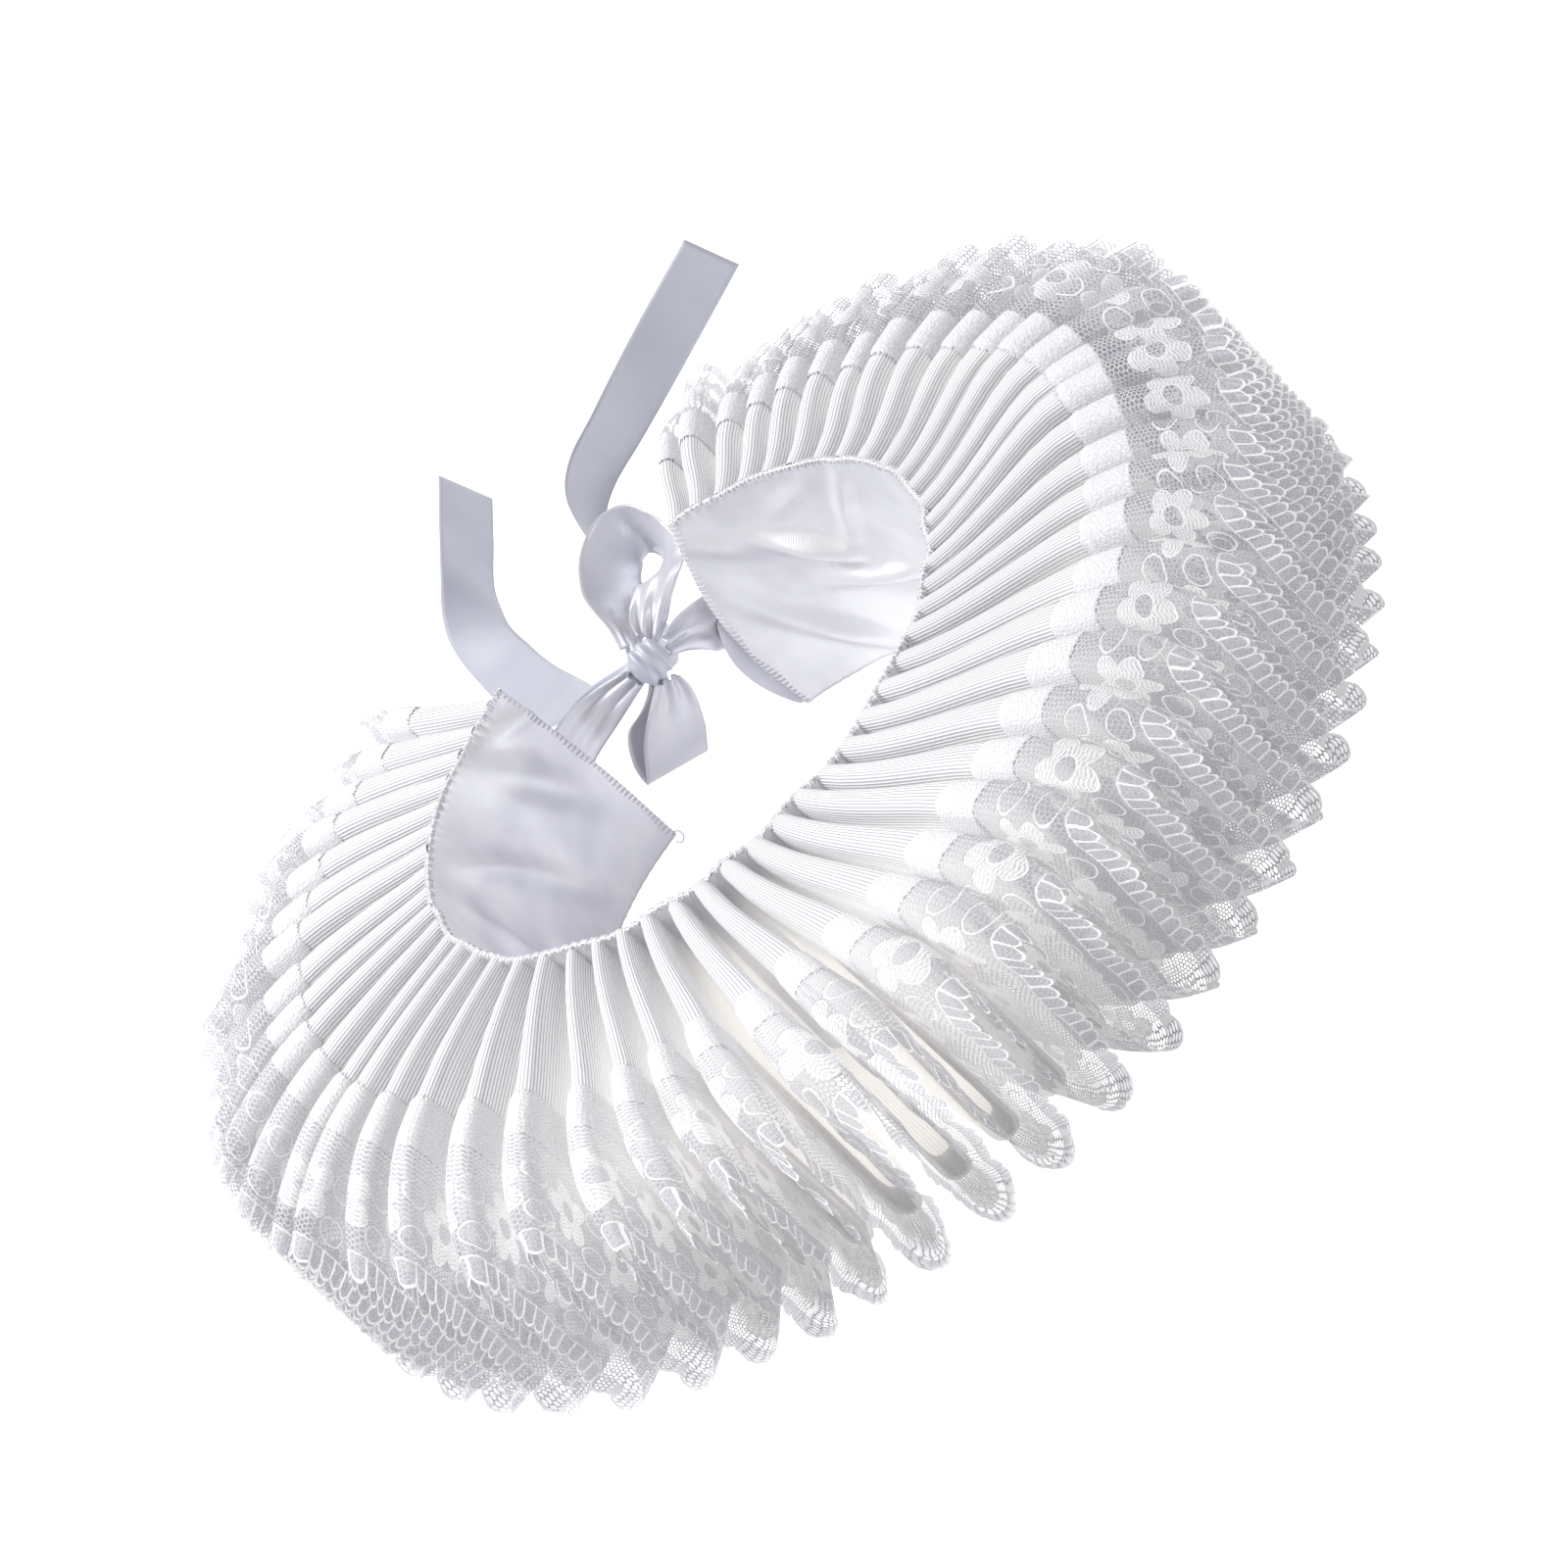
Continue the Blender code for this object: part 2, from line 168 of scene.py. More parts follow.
def soft_light(name, place, size, power):
    """A large square of white light that faces the collar."""
    light = bpy.data.lights.new(name, "AREA")
    light.size = size * MM
    light.energy = power
    lamp = bpy.data.objects.new(name, light)
    lamp.location = Vector((np.array(place) + AXIS) * MM)
    ahead = Vector(AXIS * MM) - lamp.location
    lamp.rotation_euler = ahead.to_track_quat("-Z", "Y").to_euler()
    bpy.context.scene.collection.objects.link(lamp)


walls = bpy.data.worlds.new("white_walls")
walls.use_nodes = True
wall_paint = {"Color": WALL_COLOUR, "Strength": WALL_LIGHT}
feed(walls.node_tree, walls.node_tree.nodes["Background"], wall_paint)
bpy.context.scene.world = walls
bpy.context.scene.view_settings.view_transform = "Standard"
table_cloth()
bpy.context.scene.camera = turned_camera()
for row in LIGHT_ROWS:
    soft_light(**dict(zip(LIGHT_COLUMNS, row)))

# ---------------------------------------------------------------- neckband
# A straight strip of white satin, folded double and stood on edge round the neck. Its top edge
# and slanted ends are overlocked with thread and pucker a little, and the pleats are sewn to its
# outer face.
BAND_RADIUS = 65.4
BAND_BOTTOM = 6.3
BAND_TOP = 62.0
END_COLUMNS = ("height", "left_deg", "right_deg")
END_ROWS = (
    (6.3, 17.5, 18.5),
    (26.0, 18.4, 17.0),
    (43.5, 19.7, 19.0),
    (62.0, 21.6, 23.8),
)
BAND_WAIST = 0.8
BAND_WALL = 0.9
BAND_ROWS = 56
BAND_COLUMNS = 760

# The seams' ripples: the puckers that the stitches draw, and a slower swell. A ripple has a
# length, a phase that drifts along the seam, and how far it moves the cloth aside and up. Both
# fade out below the top seam and, weaker, above the bottom one.
PUCKER_PITCH = 2.6
Ripple = namedtuple("Ripple", "length drift drift_length aside upwards")
SEAM_RIPPLES = (
    Ripple(PUCKER_PITCH / (2 * math.pi), 1.5, 9.0, 0.16, 0.12),
    Ripple(3.7, 2.0, 15.0, 0.30, 0.38),
)
TOP_SEAM = 3.2
FOOT_SEAM = 3.0
FOOT_RIPPLE = 0.6

SATIN_WHITE = (0.88, 0.88, 0.91)
SATIN_SHADE = (0.58, 0.58, 0.66)
BAND_THREAD = 0.62
BAND_SHINE = 0.45
GRAIN_SLANT = 0.35
GRAIN_PATCHES = 0.35
GRAIN_TONE = 0.16
# The satin's painted shade in soft random clouds: their size and how dark.
CLOUD_PATCHES = 0.06
CLOUD_SHADE = 0.5
SATIN_ROUGH = 0.34
BACK_ROUGH = 0.2
BACK_SHADE = 0.55

# Painted shade on the band: on the slopes of its creases that face down, and on its left side,
# which faces away from the light, up to a height where a painted highlight takes its place.
SLOPE_SHADE = 0.9
LEFT_SIDE_SHADE = 0.4
LEFT_SHADE_DEGREES = (90.0, 210.0)
TOP_HIGHLIGHT_HEIGHTS = (44.0, 54.0)
TOP_HIGHLIGHT_GAIN = 1.2
PAINTED_SHADE_RANGE = (-0.4, 1.0)

# The creases of the band: where each one's middle is, the turn of its line from level, how long
# and how wide it is, and how far it stands in.
Crease = namedtuple("Crease", "degrees height turn length width depth")
BAND_CREASES = (
    Crease(315.0, 41.0, 33.0, 13.0, 2.6, 4.6),
    Crease(306.0, 29.0, 8.0, 13.0, 2.6, 4.4),
    Crease(324.0, 18.5, 50.0, 13.0, 2.8, 4.0),
    Crease(300.0, 50.0, -55.0, 12.0, 2.6, 2.2),
    Crease(331.0, 50.0, 40.0, 9.0, 2.4, 1.3),
    Crease(334.0, 33.0, 62.0, 11.0, 2.6, 1.2),
    Crease(311.0, 54.0, -20.0, 8.0, 2.2, 1.2),
    Crease(289.0, 42.0, 20.0, 9.0, 2.6, 1.0),
    Crease(275.0, 40.0, 75.0, 15.0, 3.4, 0.9),
    Crease(255.0, 42.0, 100.0, 15.0, 3.6, 0.7),
    Crease(32.0, 45.0, 62.0, 15.0, 4.4, 3.4),
    Crease(25.0, 55.0, 20.0, 8.0, 2.4, 1.3),
    Crease(44.0, 27.0, 60.0, 14.0, 3.6, 1.7),
    Crease(55.0, 46.0, 50.0, 11.0, 3.0, 1.6),
    Crease(68.0, 36.0, 78.0, 16.0, 3.4, 1.6),
    Crease(86.0, 44.0, 98.0, 15.0, 3.4, 1.4),
    Crease(108.0, 48.0, 80.0, 14.0, 3.2, 1.2),
    Crease(130.0, 50.0, 60.0, 12.0, 3.0, 0.6),
)

# The overlocking: its stitches, how far the thread reaches in and over, and its loose loop. The
# facing: how high it goes, how far past the band's end, how far behind it, and its mesh.
STITCH_PITCH = 1.3
STITCH_STEPS = 8
STITCH_REACH = 1.6
STITCH_OVER = 0.8
STITCH_INSET = 0.42
THREAD_RADIUS = 0.17
THREAD_ASIDE = (0.31, 0.17, 0.93)
THREAD_WHITE = (0.93, 0.93, 0.95)
THREAD_SHADE = (0.80, 0.80, 0.85)
LOOP_SIZE = 1.6
LOOP_NARROW = 0.7
LOOP_TURN = (0.2, 5.6)
LOOP_STEPS = 22
FACING_LIFT = 0.4
FACING_TOP = 36.0
FACING_WIDE = 4.2
FACING_UNDER = 3.0
FACING_BEHIND = 0.9
FACING_ROWS = 24
FACING_COLUMNS = 10


def round_the_neck(degrees, radius, height):
    """Points at these angles round the neck: radius times minus sine and cosine, and the height."""
    turn = np.radians(degrees)
    return np.stack([-radius * np.sin(turn), radius * np.cos(turn), height + 0 * turn], -1)


def smooth_step(low, high, value):
    """0 below low, 1 above high, and 3t2 - 2t3 between."""
    t = np.clip((value - low) / (high - low), 0.0, 1.0)
    return t * t * (3 - 2 * t)


def run_along(path):
    """How far along a path each of its points lies: the sum of the steps up to it."""
    return np.concatenate([[0.0], np.cumsum(np.linalg.norm(np.diff(path, axis=0), axis=1))])


def drifting_wave(along, ripple):
    """A sine wave of the place along, with a phase that is a slower sine of the same place."""
    return np.sin(along / ripple.length + ripple.drift * np.sin(along / ripple.drift_length))


def cloth_sheet(name, grid, cut, material):
    """A mesh from rows and columns of points in millimetres, a face to each square of the grid.
    cut is where each point lies on the flat cloth, in millimetres, and becomes the UV map."""
    rows, columns = grid.shape[:2]
    index = np.arange(rows * columns).reshape(rows, columns)
    corners = np.stack([index[:-1, :-1], index[:-1, 1:], index[1:, 1:], index[1:, :-1]], -1)
    corners = corners.reshape(-1)
    mesh = bpy.data.meshes.new(name)
    mesh.vertices.add(rows * columns)
    mesh.vertices.foreach_set("co", ((grid + AXIS) * MM).ravel())
    mesh.loops.add(len(corners))
    mesh.loops.foreach_set("vertex_index", corners)
    mesh.polygons.add(len(corners) // 4)
    mesh.polygons.foreach_set("loop_start", np.arange(0, len(corners), 4))
    mesh.update(calc_edges=True)
    layer = mesh.uv_layers.new(name="cut")
    layer.data.foreach_set("uv", cut.reshape(-1, 2)[corners].ravel())
    mesh.materials.append(material)
    mesh.shade_smooth()
    piece = bpy.data.objects.new(name, mesh)
    bpy.context.scene.collection.objects.link(piece)
    return piece


def store_on(piece, name, values):
    """A number for each point of a piece, which its material reads."""
    layer = piece.data.attributes.new(name, "FLOAT", "POINT")
    layer.data.foreach_set("value", values.ravel())


def give_wall(piece, thickness):
    """A Solidify modifier that turns a surface into cloth this thick, half to each side."""
    wall = piece.modifiers.new("wall", "SOLIDIFY")
    wall.thickness = thickness * MM
    wall.offset = 0.0


def blend_of(tree, share, first, second):
    """A colour between two colours: first at share 0, second at share 1."""
    node = tree.nodes.new("ShaderNodeMix")
    node.data_type = "RGBA"
    feed(tree, node, {"Factor": share, 6: first, 7: second})
    return node.outputs[2]


def cut_place(tree):
    """The place on the flat cloth in millimetres, whole, and along and across it."""
    place = tree.nodes.new("ShaderNodeUVMap")
    place.uv_map = "cut"
    parts = tree.nodes.new("ShaderNodeSeparateXYZ")
    tree.links.new(place.outputs["UV"], parts.inputs[0])
    return place.outputs["UV"], parts.outputs["X"], parts.outputs["Y"]


def bump_of(tree, height, strength, distance):
    """A Bump node for a height in millimetres."""
    node = tree.nodes.new("ShaderNodeBump")
    feed(tree, node, {"Strength": strength, "Distance": distance * MM, "Height": height})
    return node.outputs["Normal"]


def stored_number(tree, name):
    """A number that the mesh stores for each of its points."""
    node = tree.nodes.new("ShaderNodeAttribute")
    node.attribute_name = name
    return node.outputs["Fac"]


def noise_of(tree, vector, scale, detail=2.0):
    """Noise from 0 to 1, with this many patches to a millimetre."""
    node = tree.nodes.new("ShaderNodeTexNoise")
    feed(tree, node, {"Scale": scale, "Detail": detail, "Vector": vector})
    return node.outputs["Fac"]


def satin(name, lit, shaded, thread, shine):
    """Satin: a shine, a slanted grain of fine lines a thread apart, and painted shade: the shaded
    colour in soft clouds, on the back of the cloth and where the piece's own painted shade is high."""
    material, tree, shader = shader_nodes(name)
    place, along, across = cut_place(tree)
    slant = sum_of(tree, "MULTIPLY_ADD", across, GRAIN_SLANT, along)
    lines = sum_of(tree, "SINE", sum_of(tree, "MULTIPLY", slant, 2 * math.pi / thread))
    broken = sum_of(tree, "MULTIPLY", lines, noise_of(tree, place, GRAIN_PATCHES, 3.0))
    # Painted shade in soft random clouds of the shaded colour.
    cloudy = sum_of(tree, "MULTIPLY_ADD", noise_of(tree, place, CLOUD_PATCHES, 2.0), 3.0, -1.1)
    clouds = sum_of(tree, "MINIMUM", sum_of(tree, "MAXIMUM", cloudy, 0.0), 1.0)
    shade_in_clouds = sum_of(tree, "MULTIPLY", clouds, CLOUD_SHADE)
    tone = sum_of(tree, "MULTIPLY_ADD", broken, GRAIN_TONE, shade_in_clouds)
    # The piece's own painted shade; where it is below zero it paints a highlight.
    tone = sum_of(tree, "ADD", tone, stored_number(tree, "painted_shade"))
    colour = blend_of(tree, tone, lit, shaded)
    back = tree.nodes.new("ShaderNodeNewGeometry").outputs["Backfacing"]
    behind = sum_of(tree, "MULTIPLY", back, BACK_SHADE)
    rough = sum_of(tree, "MULTIPLY_ADD", back, BACK_ROUGH, SATIN_ROUGH)
    finish = {
        "Base Color": blend_of(tree, behind, colour, shaded),
        "Roughness": rough,
        "Metallic": shine,
        "Specular IOR Level": 0.45,
        "Sheen Weight": 0.15,
        "Sheen Roughness": 0.4,
        "Normal": bump_of(tree, broken, 0.35, 0.05),
    }
    feed(tree, shader, finish)
    return material


def band_creases(degrees, height):
    """How far the band stands in from its ring, in millimetres: a sum of ridges. Each is a bell
    along its own line, which leans by its turn, times a narrower bell across it."""
    inwards = np.zeros_like(height)
    for crease in BAND_CREASES:
        sideways = np.radians(degrees - crease.degrees) * BAND_RADIUS
        upwards = height - crease.height
        turn = math.radians(crease.turn)
        along = sideways * math.cos(turn) + upwards * math.sin(turn)
        across = upwards * math.cos(turn) - sideways * math.sin(turn)
        bell = np.exp(-((along / crease.length) ** 2) - (across / crease.width) ** 2)
        inwards += crease.depth * bell
    return inwards


def painted_band_shade(degrees, height, creased):
    """The band's painted shade: its creases' slope upwards times a share, and more on its left
    side below a height, above which it paints a highlight instead."""
    slope = np.gradient(creased, axis=0) * (BAND_ROWS - 1) / (BAND_TOP - BAND_BOTTOM)
    on_left = 1 - smooth_step(*LEFT_SHADE_DEGREES, degrees)
    below = 1 - TOP_HIGHLIGHT_GAIN * smooth_step(*TOP_HIGHLIGHT_HEIGHTS, height)
    return np.clip(SLOPE_SHADE * slope + LEFT_SIDE_SHADE * on_left * below, *PAINTED_SHADE_RANGE)


def smooth_between(where, stops, values):
    """A Catmull-Rom curve through values at stops, read at where: the cubic between two stops
    that has their values and their slopes."""
    values = np.asarray(values, float)
    slopes = np.gradient(values, stops, axis=0)
    index = np.clip(np.searchsorted(stops, where, side="right") - 1, 0, len(stops) - 2)
    stretch = (len(where),) + (1,) * (values.ndim - 1)
    span = np.diff(stops)[index].reshape(stretch)
    t = ((where - stops[index]) / np.diff(stops)[index]).reshape(stretch)
    start = values[index] * (2 * t**3 - 3 * t**2 + 1)
    start += slopes[index] * span * (t**3 - 2 * t**2 + t)
    end = values[index + 1] * (3 * t**2 - 2 * t**3)
    end += slopes[index + 1] * span * (t**3 - t**2)
    return start + end


def neckband(material):
    """The band's middle surface: the ring's radius less the waist, the creases and the ripples of
    its seams, from end to end at every height. Also returns its border, from the left end's foot
    up, along the top and down the right end."""
    share = np.linspace(0.0, 1.0, BAND_COLUMNS)[None, :]
    rise = np.linspace(0.0, 1.0, BAND_ROWS)[:, None]
    height = BAND_BOTTOM + rise * (BAND_TOP - BAND_BOTTOM) + 0 * share
    ends = np.array(END_ROWS)
    left, right = smooth_between(height[:, 0], ends[:, 0], ends[:, 1:]).T[:, :, None]
    degrees = left + share * (360 - right - left)
    along = np.radians(degrees) * BAND_RADIUS
    creased = band_creases(degrees, height)
    # Painted shade on the creases' downward slopes and the left side, and a painted highlight near
    # the top.
    painted_shade = painted_band_shade(degrees, height, creased)
    radius = BAND_RADIUS - BAND_WAIST * np.sin(math.pi * rise) - creased
    at_top = smooth_step(BAND_TOP - TOP_SEAM, BAND_TOP, height)
    at_foot = 1 - smooth_step(BAND_BOTTOM, BAND_BOTTOM + FOOT_SEAM, height)
    for ripple in SEAM_RIPPLES:
        wave = drifting_wave(along, ripple)
        radius -= ripple.aside * wave * (at_top + FOOT_RIPPLE * at_foot)
        height = height + ripple.upwards * wave * at_top
    cut = np.stack([along, height], -1)
    points = round_the_neck(degrees, radius, height)
    band = cloth_sheet("neckband_satin", points, cut, material)
    store_on(band, "painted_shade", painted_shade)
    give_wall(band, BAND_WALL)
    return band, np.concatenate([points[:-1, 0], points[-1], points[-2::-1, -1]])


def thread_tube(name, path, radius, sides, material):
    """A thread along a path: a ring of corners round every point, square to its direction."""
    ahead = unit(np.gradient(path, axis=0))
    first = unit(np.cross(ahead, THREAD_ASIDE))
    second = np.cross(ahead, first)
    turns = np.linspace(0, 2 * math.pi, sides + 1)[:, None]
    around = turns[..., None]
    rings = path + radius * (np.cos(around) * first + np.sin(around) * second)
    cut = np.stack(np.broadcast_arrays(run_along(path), turns * radius), -1)
    return cloth_sheet(name, rings, cut, material)


def overlock(border, material):
    """Thread wound over the band's edge: its distance from the edge goes round a flat circle once
    for every stitch. It ends in a loose loop at the left end's lower corner."""
    run = run_along(border)
    place = np.arange(0.0, run[-1], STITCH_PITCH / STITCH_STEPS)
    edge = np.stack([np.interp(place, run, part) for part in border.T], -1)
    ahead = unit(np.gradient(edge, axis=0))
    outwards = unit(edge * (1.0, 1.0, 0.0))
    inside = np.cross(ahead, outwards)
    turn = 2 * math.pi * place / STITCH_PITCH
    reach = STITCH_REACH * (1 + 0.25 * np.sin(place / 2.3))
    wound = edge + outwards * (STITCH_OVER * np.cos(turn))[:, None]
    wound -= inside * (reach * (0.5 * np.sin(turn) - STITCH_INSET))[:, None]
    spin = np.linspace(*LOOP_TURN, LOOP_STEPS)[:, None]
    round_loop = np.cos(spin) * inside[0] * LOOP_NARROW - np.sin(spin) * ahead[0]
    loop = edge[0] - ahead[0] + LOOP_SIZE * round_loop
    return [
        thread_tube("overlock_thread", wound, THREAD_RADIUS, 4, material),
        thread_tube("overlock_loop", loop, THREAD_RADIUS * 1.2, 6, material),
    ]


def end_facing(material):
    """The band's outer layer, which shows as a narrow strip beyond its right end: it stands out
    past the end by a bow of a few millimetres over the end's lower half."""
    height = np.linspace(BAND_BOTTOM + FACING_LIFT, FACING_TOP, FACING_ROWS)
    ends = np.array(END_ROWS)
    right = smooth_between(height, ends[:, 0], ends[:, 2])[:, None]
    share = np.linspace(0.0, 1.0, FACING_COLUMNS)[None, :]
    bow = np.sin(math.pi * np.linspace(0.04, 1.0, FACING_ROWS))[:, None] ** 0.6
    past = (share * (FACING_WIDE * bow + FACING_UNDER) - FACING_UNDER) / BAND_RADIUS
    degrees = 360 - right + np.degrees(past)
    height = height[:, None] + 0 * share
    radius = BAND_RADIUS + FACING_BEHIND + 0.5 * np.sin(share * 4.0) + 0 * height
    cut = np.stack([np.radians(degrees) * BAND_RADIUS, height], -1)
    points = round_the_neck(degrees, radius, height)
    return cloth_sheet("neckband_facing", points, cut, material)


def sewing_thread(name):
    """Twisted white thread: a slanted stripe of light and shade along it."""
    material, tree, shader = shader_nodes(name)
    place, along, across = cut_place(tree)
    slant = sum_of(tree, "MULTIPLY_ADD", across, 4.0, sum_of(tree, "MULTIPLY", along, 9.0))
    twist = sum_of(tree, "SINE", slant)
    tone = sum_of(tree, "MULTIPLY_ADD", twist, 0.3, noise_of(tree, place, 0.4))
    colour = blend_of(tree, tone, THREAD_WHITE, THREAD_SHADE)
    feed(tree, shader, {"Base Color": colour, "Roughness": 0.5})
    return material


band_satin = satin("band_satin", SATIN_WHITE, SATIN_SHADE, BAND_THREAD, BAND_SHINE)
band, band_border = neckband(band_satin)
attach(band, "root")
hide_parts("neckband")
facing = end_facing(band_satin)
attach(facing, "root")
for stitches in overlock(band_border, sewing_thread("white_thread")):
    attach(stitches, "root")

# ---------------------------------------------------------------- pleated ribbon
# A wide grosgrain ribbon with fine ribs across it, set round the band in tall organ pleats:
# rounded folds that stand nearly shut at the neck and open towards the outer edge.
ROOT_RADIUS = 66.3
RIBBON_WIDTH = 45.0
RIBBON_EDGE = ROOT_RADIUS + RIBBON_WIDTH
HEADER_WIDTH = 12.0
HEADER_RADIUS = RIBBON_EDGE - HEADER_WIDTH

# The pleats: their number, how much and at the most what share of a fold its corners cut off, how
# far the strip's two ends hang above its lower folds, how high what lies on the table is, the share
# of the pitch that two folds may fill, and the mesh's steps and rounding.
FOLDS = 51
CORNER_CUT = 1.1
CUT_SHARE = 0.5
END_WALL_LIFT = 3.0
FLAT = 0.5
WALL_TO_WALL = 0.97
PLEAT_STEP = 0.75
ROUNDING = 7
RIBBON_ROWS = 10

RIB_PITCH = 0.86
RIB_SHARPNESS = 3.0
WEAVE_PITCH = 0.42
WEAVE_HEIGHT = 0.12
RIBBON_WHITE = (0.97, 0.97, 0.975)
# The painted shade in the ribs' grooves.
RIBBON_GROOVE_SHADE = (0.36, 0.36, 0.42)

# What changes with height over the table: between high and low, from at_high to at_low.
Fade = namedtuple("Fade", "high low at_high at_low")
# How much painted shade the ribs' grooves take, less low down.
GROOVE_SHADE_FADE = Fade(57.0, 50.0, 0.95, 0.4)
DEPTH_GLOW = Fade(58.0, 42.0, 0.03, 0.23)
GLOW_COLOUR = (1.0, 0.97, 0.90)
DARK = (0.0, 0.0, 0.0)

# The upper folds: fold number, degrees at the root and at the lace header, how many degrees the
# lace leans on beyond the header, how far the header stands above the even cone, how far out the
# lace reaches, how full the fold is, how much its lace opens into the lobes of the lower folds,
# and how close its net is drawn together.
FOLD_COLUMNS = "fold root_deg header_deg onward_deg rise reach full lobed close".split()
FOLD_ROWS = (
    (1, 25.0, 24.5, 0.0, 0.0, 136.0, 1.00, 0.1, 0.0),
    (5, 49.0, 49.5, 1.0, 4.0, 138.0, 1.00, 0.0, 0.1),
    (9, 73.5, 75.5, 1.0, 4.0, 138.0, 0.92, 0.0, 0.4),
    (12, 92.0, 95.5, 1.0, 3.5, 137.0, 0.76, 0.2, 0.9),
    (15, 111.5, 117.0, 2.0, 6.0, 135.0, 0.68, 0.5, 1.0),
    (18, 132.0, 139.5, 3.5, 0.5, 134.0, 0.68, 0.8, 1.0),
    (21, 149.5, 156.5, 4.0, 0.5, 134.0, 0.88, 1.0, 0.9),
    (25, 173.0, 181.5, 4.5, -1.0, 133.0, 1.15, 1.0, 0.6),
    (29, 196.0, 206.0, 3.5, 0.5, 132.0, 1.15, 0.9, 0.4),
    (33, 221.0, 233.0, 0.5, -1.0, 132.0, 1.12, 0.9, 0.1),
    (37, 244.0, 257.5, -2.5, 3.0, 135.0, 1.10, 0.4, 0.0),
    (41, 271.0, 285.5, -1.0, -1.0, 138.0, 1.05, 0.0, 0.0),
    (44, 293.0, 304.5, 0.0, -1.0, 138.0, 1.00, 0.0, 0.0),
    (48, 319.0, 325.0, 0.0, -0.5, 138.0, 1.00, 0.0, 0.0),
    (51, 335.5, 339.5, 0.0, 0.0, 135.0, 1.00, 0.0, 0.0),
)

# The small differences between folds: how large, how quickly they change, where they start.
Wave = namedtuple("Wave", "amount pace start")
DIRECTION_WAVE = Wave(0.35, 2.3, 0.4)
HEIGHT_WAVE = Wave(1.0, 1.9, 0.9)
WIDTH_WAVE = Wave(0.04, 2.9, 2.0)

# Sections of the pleats, from the neck outwards: how far out along the cloth, the radius and the
# share of the lace's further reach, the heights of upper and lower folds, an upper fold's share of
# its pitch, how uneven the heights are, the share of each fold's rise, how much an upper fold of
# the lobed lace narrows and sinks, and how far up a lower fold's corners curve.
Section = namedtuple(
    "Section", "out radius beyond upper lower share uneven lift closing sink curve"
)
ROOT_SECTION = Section(0.0, ROOT_RADIUS - 0.8, 0.0, 62.2, 12.0, 0.62, 0.3, 0.0, 0.0, 0.0, 1.1)
HEADER_SECTION = Section(33.0, HEADER_RADIUS, 0.0, 57.6, FLAT, 0.57, 1.0, 1.0, -0.1, 0.0, 1.1)
EDGE_SECTION = Section(
    RIBBON_WIDTH, RIBBON_EDGE, 0.0, 56.2, FLAT, 0.54, 1.2, 0.9, -0.2, 0.0, 1.6
)
HANG_SECTION = Section(59.0, RIBBON_EDGE, 0.52, 53.4, 0.8, 0.52, 2.2, 0.5, -0.3, 2.0, 3.4)
HEM_SECTION = Section(72.0, RIBBON_EDGE, 1.0, 49.0, 3.6, 0.52, 3.4, 0.1, 0.85, 7.0, 7.0)
RIBBON_SECTIONS = (ROOT_SECTION, HEADER_SECTION, EDGE_SECTION)


def sway(folds, wave):
    """A small difference for each fold that never repeats evenly: two sines added."""
    slow = np.sin(wave.pace * folds + wave.start)
    quick = np.sin(1.7 * wave.pace * folds + 2.0 * wave.start + 1.0)
    return wave.amount * (0.6 * slow + 0.4 * quick)


def per_fold(name, folds):
    """A column of the fold table, read smoothly at every fold."""
    stops = np.array([row[0] for row in FOLD_ROWS], float)
    values = [row[FOLD_COLUMNS.index(name)] for row in FOLD_ROWS]
    return smooth_between(folds, stops, values)


def fold_corners(centre, half, crest, drop):
    """The four corners of every fold, as places along the line and heights: 2 x 4 x folds. Its
    outer corners stand a drop away from its crest, and its inner ones as far in, or a share of
    the fold's half width if that is less."""
    cut = np.minimum(np.abs(drop), CUT_SHARE * half)
    along = np.stack([centre - half, centre - half + cut, centre + half - cut, centre + half])
    return np.stack([along, np.stack([crest + drop, crest, crest, crest + drop])])


def pleat_corners(section):
    """Degrees, radii and heights of the pleats' corners at one section: over an upper fold, down
    a wall, under a lower fold and up again, all round the unrolled ring. A fold's middle runs
    straight from its root's angle to its header's and leans on beyond it."""
    folds = np.arange(1, FOLDS + 1, dtype=float)
    radii = section.radius + section.beyond * (per_fold("reach", folds) - RIBBON_EDGE)
    mean_radius = radii.mean()
    root = per_fold("root_deg", folds)
    header = per_fold("header_deg", folds)
    outwards = (radii - ROOT_RADIUS) / (HEADER_RADIUS - ROOT_RADIUS)
    degrees = root + (header - root) * np.minimum(outwards, 1.0)
    degrees += sway(folds, DIRECTION_WAVE) * outwards
    degrees += per_fold("onward_deg", folds) * np.maximum(outwards - 1.0, 0.0)
    centre = np.radians(degrees) * mean_radius
    pitch = np.gradient(centre)
    lobed = per_fold("lobed", folds)
    top = section.upper + section.lift * per_fold("rise", folds)
    top += section.uneven * sway(folds, HEIGHT_WAVE) - section.sink * lobed
    share = section.share * per_fold("full", folds) * (1 - section.closing * lobed)
    half = share * pitch / 2 * (1 + sway(folds, WIDTH_WAVE))
    wide = np.maximum(section.share, WALL_TO_WALL - share) * pitch / 2
    between = (centre[1:] + centre[:-1]) / 2
    under = (wide[1:] + wide[:-1]) / 2
    high = fold_corners(centre, half, top, -CORNER_CUT)
    low = fold_corners(between, under, np.full(FOLDS - 1, section.lower), section.curve)
    pairs = np.concatenate([high[:, :, :-1], low], axis=1)
    line = np.concatenate([pairs.transpose(2, 1, 0).reshape(-1, 2), high[:, :, -1].T])
    slant = pitch[0] / 2 - 2 * half[0]
    foot = section.lower + END_WALL_LIFT
    line = np.concatenate([[(line[0, 0] - slant, foot)], line, [(line[-1, 0] + slant, foot)]])
    radius = np.interp(line[:, 0], centre, radii)
    return np.stack([np.degrees(line[:, 0] / mean_radius), radius, line[:, 1]], -1)


bend_places = run_along(round_the_neck(*pleat_corners(HEADER_SECTION).T))
RIBBON_LENGTH = bend_places[-1]


def count_bends(along):
    """Places along the cloth, counted in bends of the pleats."""
    return np.interp(along, bend_places, np.arange(len(bend_places)))


